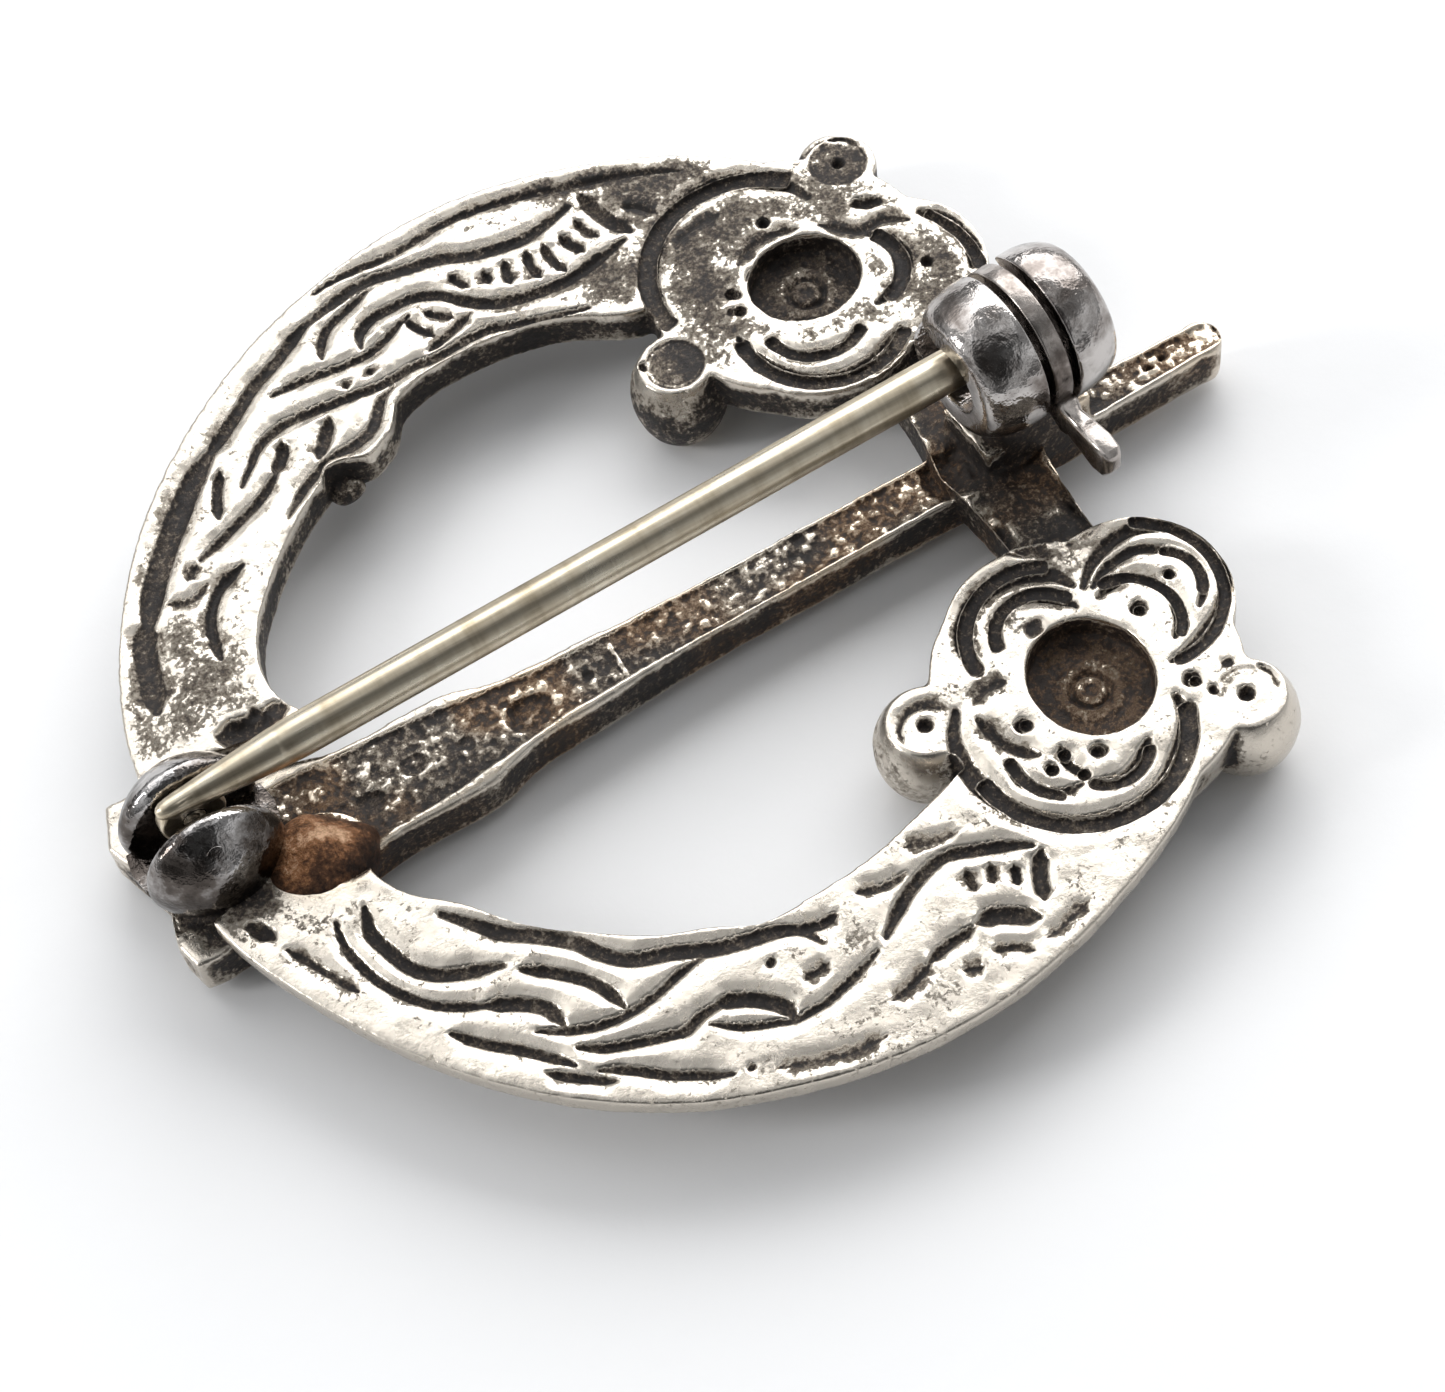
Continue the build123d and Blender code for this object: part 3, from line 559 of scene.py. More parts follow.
def near_line(plan, line):
    """For each plan point, its distance from a line, and how far along the line it is, 0 to 1."""
    lengths = np.linalg.norm(np.diff(line, axis=0), axis=1)
    starts = np.concatenate([[0], np.cumsum(lengths)])
    best, along = np.full(len(plan), 1e9), np.zeros(len(plan))
    for i, (a, b) in enumerate(zip(line, line[1:])):
        t = np.clip(((plan - a) @ (b - a)) / max(lengths[i] ** 2, 1e-12), 0, 1)
        gap = np.linalg.norm(plan - a - t[:, None] * (b - a), axis=1)
        closer = gap < best
        best[closer] = gap[closer]
        along[closer] = ((starts[i] + t * lengths[i]) / starts[-1])[closer]
    return best, along


def groove_depth(plan, strands, shift):
    """Depth below the plain face at each plan point: the grooves, and the soft slope beside each."""
    depth, valley = np.zeros(len(plan)), np.zeros(len(plan))
    for width, deepest, points in strands:
        line = smooth_line(points) + np.array([0, shift])
        reach = 1.6 * width
        inside = np.all((plan > line.min(0) - reach) & (plan < line.max(0) + reach), axis=1)
        index = np.nonzero(inside)[0]
        gap, along = near_line(plan[index], line)
        taper = np.clip(np.minimum(along, 1 - along) / 0.16, 0, 1)
        half = 0.57 * width * (0.45 + 0.55 * taper)
        bowl = np.clip(1 - (gap / half) ** 2, 0, 1) ** 0.75 * deepest * (0.55 + 0.45 * taper)
        depth[index] = np.maximum(depth[index], bowl)
        slope = 0.075 * taper * np.exp(-((np.maximum(gap - half, 0) / 0.20) ** 2))
        valley[index] = np.maximum(valley[index], slope)
    return np.maximum(depth + 0.3 * valley, valley)


def step(value, low, high):
    """Rises smoothly from 0 at low to 1 at high."""
    t = np.clip((value - low) / (high - low), 0, 1)
    return t * t * (3 - 2 * t)


def lumps(points, size, seed):
    """Smooth random lumps of a size in millimetres, from about -1 to 1."""
    table = np.random.default_rng(seed).uniform(-1, 1, (32, 32, 32))
    q = points / size
    cell = np.floor(q).astype(int)
    f = q - cell
    f = f * f * (3 - 2 * f)
    sides = (1 - f, f)
    total = np.zeros(len(points))
    for i in (0, 1):
        for j in (0, 1):
            for k in (0, 1):
                x, y, z = ((cell + (i, j, k)) % 32).T
                total += table[x, y, z] * (sides[i][:, 0] * sides[j][:, 1] * sides[k][:, 2])
    return total


def within(points, place, core, reach):
    """1 within the core's distance of a place in plan, and smoothly 0 beyond the reach."""
    return 1 - step(np.hypot(points[:, 0] - place[0], points[:, 1] - place[1]), core, reach)


# %% [markdown]
# ## The casting's mesh
#
# The brooch body is one casting. Its mesh starts as a merged copy of the CAD node, so it starts
# with the frame's own outline. The fittings are cut off it, because they get pieces of their own.
# A voxel remesh then gives the casting an even mesh that is fine enough to carry the relief, and
# closes it where the fittings were.

# %% Copy the node, cut the fittings off and remesh
VOXEL = 0.075
FITTINGS_FROM = 3.53

bm = bmesh.new()
bm.from_mesh(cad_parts["brooch_body"].data)
bmesh.ops.scale(bm, vec=(1 / MM,) * 3, verts=bm.verts)
bmesh.ops.remove_doubles(bm, verts=bm.verts, dist=2e-4)
casting = object_in_mm("casting", bm)
over_catch = block((9.6, -3.2, FITTINGS_FROM), (16.2, 3.4, 12), 5, catch)
over_hinge = block((-21, -3.6, FITTINGS_FROM), (-14.6, 2.3, 12))
for cutter in (over_catch, over_hinge):
    cut(casting, object_in_mm("cutter", cutter))
remesh = casting.modifiers.new("even", "REMESH")
remesh.mode = "VOXEL"
remesh.voxel_size = VOXEL
apply_modifiers(casting)
print("casting has", len(casting.data.vertices), "vertices after the remesh")


# %% Helpers: arrays of a mesh, and relaxing them
def coordinates(mesh):
    """The vertices' places as an array."""
    co = np.empty(len(mesh.vertices) * 3)
    mesh.vertices.foreach_get("co", co)
    return co.reshape(-1, 3)


def normals(mesh):
    """The vertices' normals as an array."""
    no = np.empty(len(mesh.vertices) * 3, np.float32)
    mesh.vertex_normals.foreach_get("vector", no)
    return no.reshape(-1, 3).astype(float)


def put_back(mesh, co):
    """Writes the vertices' places."""
    mesh.vertices.foreach_set("co", co.astype(np.float32).ravel())
    mesh.update()


def relax(mesh, values, rounds, share=0.5):
    """Moves each vertex's values towards the mean of its neighbours', a number of rounds."""
    ends = np.empty(len(mesh.edges) * 2, int)
    mesh.edges.foreach_get("vertices", ends)
    a, b = ends.reshape(-1, 2).T
    count = np.maximum(np.bincount(a, minlength=len(values)) + np.bincount(b, minlength=len(values)), 1)
    values = values.copy()
    for _ in range(rounds):
        for axis in range(values.shape[1]):
            column = values[:, axis]
            total = np.bincount(a, column[b], len(column)) + np.bincount(b, column[a], len(column))
            values[:, axis] = column + share * (total / count - column)
    return values


# %% [markdown]
# ## Pressing the relief into it
#
# First the edges are relaxed, as a casting's edges are round. Then each vertex that faces up on
# the hoop's back goes down by the depth of the grooves there. The bar is a lower face of its own:
# a grainy field between two raised rims. Casting grain goes over everything.

# %% The bar's own field
BAR_ANGLE = radians(1.5)
BAR_MIDDLE_Y = -1.1
BAR_RIM, FIELD_DEPTH = 0.13, 0.15
BAR_STATIONS = [
    # x, half width
    (-13.7, 2.05), (-12.0, 1.9), (-9.5, 1.72), (-5.5, 1.16),
    (-2.0, 1.05), (9.0, 0.99), (15.2, 0.82), (20.0, 0.66),
]
BAR_MARKS = [
    # x, y, half length, half width, depth
    (-6.35, -1.05, 0.85, 0.66, 0.22),
    (-4.10, -0.80, 0.22, 0.22, 0.14),
    (-3.00, -0.75, 0.10, 0.85, -0.10),
    (-8.60, -0.95, 0.30, 0.30, 0.10),
    (-10.4, -0.75, 0.50, 0.40, 0.14),
    (-12.2, -1.30, 0.60, 0.45, 0.14),
    (17.6, -0.20, 0.22, 0.12, 0.30),
    (18.2, -0.05, 0.14, 0.10, 0.26),
]


def bar_depth(points):
    """Depth of the bar's sunk field, with its marks and coarse grain."""
    middle = BAR_MIDDLE_Y + (points[:, 0] - ball.x) * tan(BAR_ANGLE)
    half = np.interp(points[:, 0], *zip(*BAR_STATIONS))
    field = step(half - BAR_RIM - np.abs(points[:, 1] - middle), 0.0, 0.18)
    grain = 0.055 * lumps(points, 0.36, 5) + 0.055 * lumps(points, 0.17, 6)
    depth = field * (FIELD_DEPTH + grain)
    for x, y, long, wide, deep in BAR_MARKS:
        gap = ((points[:, 0] - x) / long) ** 2 + ((points[:, 1] - y) / wide) ** 2
        depth += deep * step(1.25 - gap, 0.0, 0.9)
    return depth


print("the bar has", len(BAR_MARKS), "marks")

# %% [markdown]
# ## Buttons, dots and pits
#
# Each stud carries a round button with a dished face, and most have a hole in the middle. The dots
# of the ornament and the single dents are small hollows. Their rims are ragged, as cast ones are.
# The two pits lie behind the settings of the front, and their floors carry a ring mark.

# %% Buttons and hollows
BUTTONS = [
    # x, y, button radius, dish depth, hole radius
    (12.80, 12.28, 1.28, 0.07, 0.22),
    (3.85, 7.73, 1.28, 0.10, 0.00),
    (12.90, -13.16, 1.20, 0.035, 0.25),
    (3.85, -8.85, 1.20, 0.045, 0.25),
]
HOLLOWS = [
    # x, y, half length, half width, turn in degrees, depth
    (-14.6, 2.50, 0.95, 0.60, 2, 0.42),
    (-13.6, 2.55, 0.60, 0.42, 20, 0.20),
    (12.75, 10.20, 0.60, 0.28, -25, 0.30),
    (8.58, -7.65, 0.40, 0.34, 0, 0.13),
    (9.30, 11.39, 0.27, 0.25, 0, 0.26),
    (7.00, 9.15, 0.22, 0.20, 0, 0.16),
    (6.54, 8.59, 0.20, 0.18, 0, 0.16),
    (13.20, 6.81, 0.17, 0.16, 0, 0.18),
    (2.90, 8.20, 0.16, 0.24, 0, 0.24),
    (6.40, -10.48, 0.27, 0.27, 0, 0.26),
    (6.37, -12.25, 0.22, 0.22, 0, 0.30),
    (7.95, -12.45, 0.29, 0.27, 0, 0.32),
    (11.74, -8.75, 0.29, 0.27, 0, 0.32),
    (13.20, -8.11, 0.18, 0.18, 0, 0.22),
    (11.74, -11.85, 0.30, 0.28, 0, 0.32),
    (12.10, -12.52, 0.16, 0.20, 0, 0.24),
    (11.00, -12.25, 0.15, 0.30, 15, 0.26),
    (13.00, -11.93, 0.22, 0.18, 0, 0.10),
    (-17.2, -4.4, 0.55, 0.28, -60, 0.30),
    (-4.3, -13.55, 0.20, 0.14, 30, 0.18),
    (-6.45, -16.25, 0.16, 0.12, 0, 0.14),
    (7.95, 9.60, 0.45, 0.32, 20, 0.12),
]
RIM_GROOVE_AT, HOLE_DEPTH = 0.74, 0.36


def small_depth(points):
    """Depth of the buttons' dished faces and holes, and of the single hollows."""
    depth = np.zeros(len(points))
    for x, y, radius, dish, hole in BUTTONS:
        gap = np.hypot(points[:, 0] - x, points[:, 1] - y)
        depth = np.maximum(depth, dish * step(radius * 0.80 - gap, 0.0, 0.22))
        rim_groove = np.exp(-(((gap - radius * RIM_GROOVE_AT) / 0.07) ** 2))
        depth = np.maximum(depth, 1.1 * dish * rim_groove)
        if hole:
            depth = np.maximum(depth, HOLE_DEPTH * step(hole * 1.35 - gap, 0.0, hole * 0.9))
    for x, y, long, wide, turn, deep in HOLLOWS:
        u, v = points[:, 0] - x, points[:, 1] - y
        c, s = cos(radians(turn)), sin(radians(turn))
        ragged = lumps(points, 0.5 * wide, 61) * min(wide, 0.5)
        gap = ((u * c + v * s) / long) ** 2 + ((v * c - u * s) / wide) ** 2 + ragged
        depth = np.maximum(depth, deep * step(1.3 - gap, 0.0, 1.3))
    return depth


print(len(BUTTONS), "buttons and", len(HOLLOWS), "hollows")

# %% The floors of the two pits
PITS = [
    # x, y, how much longer it is along Y
    (9.36, 8.55, 0.90),
    (9.16, -10.06, 1.10),
]
PIT_FLOOR_BELOW, RING_R = 3.1, 0.62


def pit_depth(points):
    """A ring mark and a shallow dimple on the floor of each pit, and its rough casting."""
    depth = 0.05 * lumps(points, 0.5, 41) + 0.03 * lumps(points, 0.22, 42)
    for x, y, _ in PITS:
        gap = np.hypot(points[:, 0] - x, points[:, 1] - y)
        ring = np.exp(-(((gap - RING_R) / 0.11) ** 2))
        depth += 0.22 * ring + 0.14 * step(0.34 - gap, 0.0, 0.2) - 0.10 * step(1.25 - gap, 0.0, 0.3)
    return depth


def in_pits(points, core, reach):
    """1 within the core's distance of a pit's middle in plan, and smoothly 0 beyond the reach."""
    inside = np.zeros(len(points))
    for x, y, long in PITS:
        gap = np.hypot(points[:, 0] - x, (points[:, 1] - y) / long)
        inside = np.maximum(inside, 1 - step(gap, core, reach))
    return inside


print(len(PITS), "pits")

# %% [markdown]
# ## Moving the vertices
#
# A vertex takes the relief of the face that it lies on. The height and the normal tell which that
# is: the hoop's back, the bar's field or a pit's floor. Where the CAD model already has a hollow,
# only what is missing is taken away, so that no hollow is counted twice.

# %% Which face each vertex lies on
EDGE_ROUNDS = 10
mesh = casting.data
co = relax(mesh, coordinates(mesh), EDGE_ROUNDS)
put_back(mesh, co)
up = step(normals(mesh)[:, 2], 0.45, 0.85)
on_hoop = up * step(co[:, 2], 3.0, 3.2)
on_bar = up * (1 - step(co[:, 2], 2.55, 2.75)) * step(co[:, 2], 1.9, 2.05)
on_bar *= 1 - step(np.abs(co[:, 1]), 2.2, 2.8)
on_pit = in_pits(co, 1.95, 2.10) * step(normals(mesh)[:, 2], 0.6, 0.9) * (co[:, 2] < PIT_FLOOR_BELOW)
for name, face in (("hoop", on_hoop), ("bar", on_bar), ("pit", on_pit)):
    print("vertices on the", name, int((face > 0).sum()))

# %% How far each vertex goes down
relief = np.zeros(len(co))
chosen = np.nonzero(on_hoop > 0)[0]
grooves = groove_depth(co[chosen, :2], STRANDS_A + STRANDS_B + STRANDS_T, PLAN_SHIFT_Y)
wanted = np.maximum(grooves, small_depth(co[chosen]))
already = np.clip(BACK_Z - co[chosen, 2], 0, 0.4)
relief[chosen] = np.maximum(wanted - already, 0) * on_hoop[chosen]
chosen = np.nonzero(on_bar > 0)[0]
relief[chosen] += bar_depth(co[chosen]) * on_bar[chosen]
chosen = np.nonzero(on_pit > 0)[0]
relief[chosen] = pit_depth(co[chosen]) * on_pit[chosen]
print("relief from", round(relief.min(), 3), "to", round(relief.max(), 3), "mm")

# %% Round off and roughen the bridges
BRIDGE_ROUNDS = 110
BRIDGE_SPOTS = [
    # x, y, half length along Y, half width along X
    (11.0, -3.6, 2.6, 2.0),
    (10.9, 2.8, 2.4, 2.0),
    (11.0, -0.4, 1.6, 2.4),
]
NECK_DEPTH, NECK_HALF_W, NECK_MOST = 0.30, 1.6, 0.45

near_bridge = np.zeros(len(co))
for x, y, long, wide in BRIDGE_SPOTS:
    gap = np.sqrt(((co[:, 1] - y) / long) ** 2 + ((co[:, 0] - x) / wide) ** 2)
    near_bridge = np.maximum(near_bridge, 1 - step(gap, 0.7, 1.0))
rounder = relax(mesh, co, BRIDGE_ROUNDS)
share = (near_bridge * (1 - step(np.abs(co[:, 2] - BACK_Z), 0.0, 0.05)))[:, None]
co = co + (rounder - co) * share
neck = NECK_DEPTH * ((co[:, 0] - 11.0) / NECK_HALF_W) ** 2
neck *= step(co[:, 2], 1.9, 2.3) * (1 - step(co[:, 2], 3.1, 3.3))
bumps = 0.12 * lumps(co, 0.85, 51) + 0.09 * lumps(co, 0.33, 52)
relief += near_bridge * (bumps + np.minimum(neck, NECK_MOST)) * up
print("vertices on the bridges:", int((near_bridge > 0).sum()))

# %% Press the relief in and add the casting's grain
rough_side = 0.35 + 0.65 * step(co[:, 1], -4.0, 3.0)
grain = 0.016 * lumps(co, 0.55, 1) + 0.014 * lumps(co, 0.24, 2) * rough_side + 0.012 * lumps(co, 1.6, 3)
in_fitting = np.linalg.norm(co - np.array(ball), axis=1) < BALL_R + 0.12
co[:, 2] -= relief
co += normals(mesh) * (grain - 0.014)[:, None]
print("grain from", round(grain.min(), 3), "to", round(grain.max(), 3), "mm")

# %% [markdown]
# ## Three places of the casting
#
# Under the hinge's ball the casting is drawn in, so that it can't show through the ball. The corner
# of arm B beside it sinks under the solder. On arm A's inner edge, a bulge of the front's relief
# swells out, and the small bead beside it is drawn back a little.

# %% Under the ball, under the solder, and the bulge
UNDER_BALL_R = 2.28
SOLDER_SPOT, SOLDER_SINK = (-13.7, -2.2), 1.2
BULGE_SPOT, BULGE_OUT = (-6.2, 10.6), 0.50
BEAD_SPOT, BEAD_BACK = (-7.6, 9.9), 0.30
INWARD = np.array((0.51, -0.86))

away = co[in_fitting] - np.array(ball)
far = np.maximum(np.linalg.norm(away, axis=1), UNDER_BALL_R)
co[in_fitting] = np.array(ball) + away * (UNDER_BALL_R / far)[:, None]
corner = within(co, SOLDER_SPOT, 1.2, 2.2)
lid = BACK_Z + 0.02 - SOLDER_SINK * corner
co[:, 2] = np.where(corner > 0, np.minimum(co[:, 2], lid), co[:, 2])
swell = within(co, BULGE_SPOT, 0.4, 1.9)
bead = within(co, BEAD_SPOT, 0.3, 0.9)
co[:, :2] += (BULGE_OUT * swell - BEAD_BACK * bead)[:, None] * INWARD
co[:, 2] = np.maximum(co[:, 2], 0.004)
put_back(mesh, co)
print("vertices drawn in under the hinge ball:", int(in_fitting.sum()))

# %% [markdown]
# ## Keeping the mesh within its limits
#
# A decimation takes triangles away where the surface is plain and keeps them in the relief.

# %% Decimate
MOST_TRIANGLES = 430000

triangles = sum(len(p.vertices) - 2 for p in casting.data.polygons)
decimate = casting.modifiers.new("fewer", "DECIMATE")
decimate.ratio = min(1.0, MOST_TRIANGLES / triangles)
apply_modifiers(casting)
mesh = casting.data
print("from", triangles, "to", sum(len(p.vertices) - 2 for p in mesh.polygons), "triangles")

# %% [markdown]
# ## Where the tarnish and the painted shade lie
#
# Each vertex gets two numbers for the material: how dark it is, from tarnish and from painted shade,
# and how brown. Tarnish gathers where rubbing doesn't reach. A place is hollow where the surface round
# it, once relaxed, lies higher than it does. A short relaxing finds the narrow grooves and a long one
# finds the wide hollows. Depth below the plain face counts as well. Then whole regions are made darker
# or brighter, and painted shade is laid on the side walls, round the studs, under the hinge ball and
# under the bulge on arm A.

# %% Tarnish in the hollows, and by regions
NEAR_ROUNDS, WIDE_ROUNDS = ((26, 150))

co, no = coordinates(mesh), normals(mesh)
x, y, z = co.T
near = relax(mesh, co, NEAR_ROUNDS)
wide = relax(mesh, near, WIDE_ROUNDS)
hollow_near = np.einsum("ij,ij->i", near - co, no)
hollow_wide = np.einsum("ij,ij->i", wide - co, no)
below = np.clip((BACK_Z - z) / 0.25, 0, 1) * step(z, 2.35, 2.7) * step(no[:, 2], 0.2, 0.7)
at_end = step(x, 1.5, 5.0)
bar_here = (1 - step(np.abs(y + 0.5), 2.0, 3.4)) * step(x, -16.0, -13.0)
dark = 0.25 + 6.5 * hollow_near + (3.0 + 1.5 * at_end) * hollow_wide + 0.40 * below
dark -= 0.08 * (1 - step(y, -10.0, -7.0)) * (1 - step(x, 2.0, 6.0))
dark += 0.42 * step(y, 1.0, 8.0) * step(x, 1.5, 6.0)
dark += 0.10 * step(y, 3.0, 6.0) * (1 - step(x, -14.5, -12.0))
dark += 0.32 * bar_here
print("mean tarnish in the hollows", round(float(dark.mean()), 3))

# %% Dirt, and painted shade, in single places
DIRT_AND_SHADE = [
    # x, y, radius, how much darker
    (-14.6, 2.4, 1.7, 0.34),
    (-13.9, -2.6, 2.6, 0.45),
    # darker under the catch: these two rows, and the one at (10.9, -4.5)
    (12.4, -2.2, 3.0, 0.45),
    (11.0, 1.0, 3.2, 0.40),
    # painted shadow under the hinge ball
    (-17.9, -3.2, 1.9, 0.60),
    (-16.6, 4.4, 3.0, 0.12),
    (1.0, 12.8, 1.9, 0.34),
    (3.8, 12.2, 1.8, 0.30),
    (-1.6, 13.0, 1.5, 0.28),
    (4.6, 17.2, 2.2, 0.24),
    (-10.4, 13.5, 1.3, 0.14),
    (-13.3, 11.6, 1.3, 0.20),
    (-14.7, 9.9, 1.4, 0.20),
    (-3.4, -12.7, 1.5, 0.20),
    (-11.3, -7.5, 1.2, 0.16),
    (9.5, -9.0, 7.0, 0.20),
    (8.6, -5.6, 3.2, 0.20),
    (5.6, -7.6, 2.2, 0.14),
    (2.6, -12.6, 2.6, 0.12),
    (6.5, 14.9, 1.8, 0.20),
    # darker under the catch
    (10.9, -4.5, 1.8, 0.35),
    (12.6, -5.9, 1.5, 0.18),
    (9.0, -5.4, 1.6, 0.16),
    (-17.0, 5.5, 1.3, 0.22),
    (1.5, -11.7, 1.6, 0.14),
]

for spot_x, spot_y, radius, amount in DIRT_AND_SHADE:
    dark += amount * within(co, (spot_x, spot_y), radius * 0.4, radius)
dark += 0.12 * lumps(co, 2.3, 11) + (0.09 + 0.08 * at_end) * lumps(co, 0.9, 12)
print(len(DIRT_AND_SHADE), "darkened places, mean tarnish", round(float(dark.mean()), 3))

# %% Side walls, and under the buttons: painted shade
# Painted shade: side walls darker, most low down and on the hoop's inner side, less on arm B's and terminal
# B's outer walls
wall = 1 - step(no[:, 2], 0.40, 0.92)
low_wall = step(BACK_Z - z, 0.10, 0.60)
inner_side = step(-no[:, 0] * x - no[:, 1] * y, 0.0, 4.0)
less_shaded_side = 0.3 * step(-y, 10.5, 13.0) + 0.3 * step(x, 10.0, 12.0) * step(-y, 9.0, 11.0)
dark += wall * (0.12 + (0.50 + 0.20 * inner_side - 0.45 * less_shaded_side) * low_wall)
# Painted shade on the studs' walls low down, more on terminal A's studs
for spot_x, spot_y, *_ in BUTTONS:
    amount = 0.36 if spot_y > 0 else 0.24
    dark += amount * wall * step(2.9 - z, 0.0, 0.8) * within(co, (spot_x, spot_y), 2.0, 2.6)
print("vertices on side walls:", int((wall > 0.5).sum()))

# %% Pits, bridges and bead
MOST_DARKNESS, BRIDGE_DARKNESS = 0.86, 0.78
WORN_BRIDGES = [
    # x, y, radius
    (11.0, -3.6, 2.4),
    (10.9, 2.8, 2.2),
]

pits = in_pits(co, 1.90, 2.05)
pit_dark = 0.72 + 4.5 * hollow_near + 0.14 * lumps(co, 0.5, 13)
dark = np.where(pits * step(3.3 - z, 0, 0.3) > 0.5, pit_dark, dark)
for spot_x, spot_y, radius in WORN_BRIDGES:
    away = 1 - within(co, (spot_x, spot_y), radius * 0.6, radius)
    dark = np.minimum(dark, BRIDGE_DARKNESS + 0.3 * away)
# painted shade under the bulge on arm A's inner edge, at the bead
dark += 0.55 * within(co, BEAD_SPOT, 0.5, 0.9) * step(3.3 - z, 0.0, 0.3)
dark = np.clip(dark, 0.0, MOST_DARKNESS)
print("mean tarnish", round(float(dark.mean()), 3))

# %% Brown places, and the two numbers written to the mesh
BROWN_SPOT = (-14.2, -2.5)


def write_tarnish_and_shade(mesh, dark, brown):
    """Writes how dark each vertex of a mesh is, from tarnish and painted shade, and how brown."""
    for name, values in (("tarnish_and_shade", dark), ("brown", brown)):
        layer = mesh.attributes.new(name, "FLOAT", "POINT")
        layer.data.foreach_set("value", (np.zeros(len(mesh.vertices)) + values).astype(np.float32))


lower_pit = pits * (y < 0)
brown = 0.60 * lower_pit + 0.08 * (pits - lower_pit)
brown += 0.80 * bar_here * step(lumps(co, 1.9, 21), -0.3, 0.4)
brown += 0.8 * within(co, BROWN_SPOT, 1.5, 2.4)
write_tarnish_and_shade(mesh, dark, np.clip(brown, 0, 1))
print("mean brown", round(float(brown.mean()), 3))

# %% [markdown]
# ## Three meshes for one casting
#
# The real casting is one piece of metal. Its mesh is parted into three, only to keep each within
# a sensible number of triangles. The two parting planes cross the casting beside the hinge and at
# the bridges, and each part is closed with flat faces.

# %% Part the casting
PART_A_Y = 2.2
PART_B_Y = -2.9


def parted(name, planes):
    """A copy of the casting that keeps what lies on the far side of each plane."""
    bm = bmesh.new()
    bm.from_mesh(mesh)
    for y, side in planes:
        geometry = bm.verts[:] + bm.edges[:] + bm.faces[:]
        bmesh.ops.bisect_plane(bm, geom=geometry, plane_co=(0, y, 0), plane_no=(0, side, 0), clear_inner=True)
        rim = [e for e in bm.edges if e.is_boundary]
        for e in rim:
            e.smooth = False
        bmesh.ops.holes_fill(bm, edges=rim, sides=0)
    bmesh.ops.triangulate(bm, faces=[f for f in bm.faces if len(f.verts) > 4])
    return object_in_mm(name, bm)


arm_a = parted("hoop_arm_a", [(PART_A_Y, 1)])
arm_b = parted("hoop_arm_b", [(PART_B_Y, -1)])
middle = parted("centre_bar", [(PART_A_Y, -1), (PART_B_Y, 1)])
bpy.data.objects.remove(casting)
for piece in (arm_a, arm_b, middle):
    finish_piece(piece, "body", ["brooch_body"], worn_silver, sharp=80)

# %% [markdown]
# ## The hinge
#
# The hinge is a small silver ball with a slot sawn through it. The pin's flat knuckle sits in the
# slot and turns on a rivet. Two cheeks are spun round the rivet's line, each a slice of a ball with
# a rounded rim. The lower part of the ball joins them under the slot.

# %% Spin the hinge's cheeks and base
RIM = 0.42


def cheek_profile(inner, radius, rim):
    """Profile of a slice of a ball: its flat face, a round rim that runs into the ball, and the ball."""
    rim_out = sqrt((radius - rim) ** 2 - (inner + rim) ** 2)
    meet = float(np.degrees(np.arctan2(rim_out, inner + rim)))
    face = [(inner, 0.0), (inner, rim_out * 0.5)]
    round_rim = arc((inner + rim, rim_out), rim, 180, meet, 12)
    round_side = arc((0.0, 0.0), radius, meet, 0, 26)[1:-1]
    return face + round_rim + round_side + [(radius, 0.0)]


DRESSED_R = BALL_R + 0.10
ball_middle = ball + Vector((0, 0, 0.06))
slot_side = SLOT_W / 2
profile = cheek_profile(slot_side, DRESSED_R, RIM)
hinge_parts = []
for way in (1, -1):
    hinge_parts.append(object_in_mm("hinge_cheek", spun(profile, ball_middle, rivet_dir * way, UP)))
waist_half, waist_out = slot_side + 0.1, sqrt(BALL_R**2 - slot_side**2) - 0.05
waist = [(-waist_half, 0.0), (-waist_half, waist_out), (0.0, BALL_R)]
waist += [(waist_half, waist_out), (waist_half, 0.0)]
bm = spun(waist, ball, rivet_dir, UP)
geometry = bm.verts[:] + bm.edges[:] + bm.faces[:]
bmesh.ops.bisect_plane(bm, geom=geometry, plane_co=(0, 0, SLOT_FLOOR), plane_no=(0, 0, 1), clear_outer=True)
bmesh.ops.holes_fill(bm, edges=[e for e in bm.edges if e.is_boundary], sides=0)
hinge_parts.append(object_in_mm("hinge_base", bm))
hinge_ball, *others = hinge_parts
hinge_ball.name = "hinge_ball"
for other in others:
    cut(hinge_ball, other, "UNION")
finish_piece(hinge_ball, "body", ["brooch_body"], hinge_silver, sharp=40)

# %% [markdown]
# ## The rivet
#
# The rivet was cut off and filed flush, so its ends take the ball's own curve. It is a short rod
# of which only what lies inside the ball is kept.

# %% Rivet filed flush
RIVET_R, ROD_HALF = 0.4, 2.6

rod_line = [(-ROD_HALF, 0.0), (-ROD_HALF, RIVET_R), (ROD_HALF, RIVET_R), (ROD_HALF, 0.0)]
rod = object_in_mm("flush_rivet", spun(rod_line, rivet, rivet_dir, UP, 40))
bm = bmesh.new()
bmesh.ops.create_icosphere(bm, subdivisions=5, radius=DRESSED_R + 0.008)
bmesh.ops.translate(bm, vec=ball_middle, verts=bm.verts)
cut(rod, object_in_mm("ball_limit", bm), "INTERSECT")
finish_piece(rod, "body", ["hinge_rivet"], hinge_silver, sharp=40)

# %% [markdown]
# ## The solder
#
# A lump of solder was left beside the hinge when it was mended. It is rough and coppery, so it is
# a squashed ball with lumps, drawn to a point along the bar and dipped into the casting.

# %% Solder lump
SOLDER_HALF, SOLDER_MIDDLE, SOLDER_TURN = Vector((2.10, 1.85, 1.66)), (-14.60, -2.80, 2.34), radians(10)

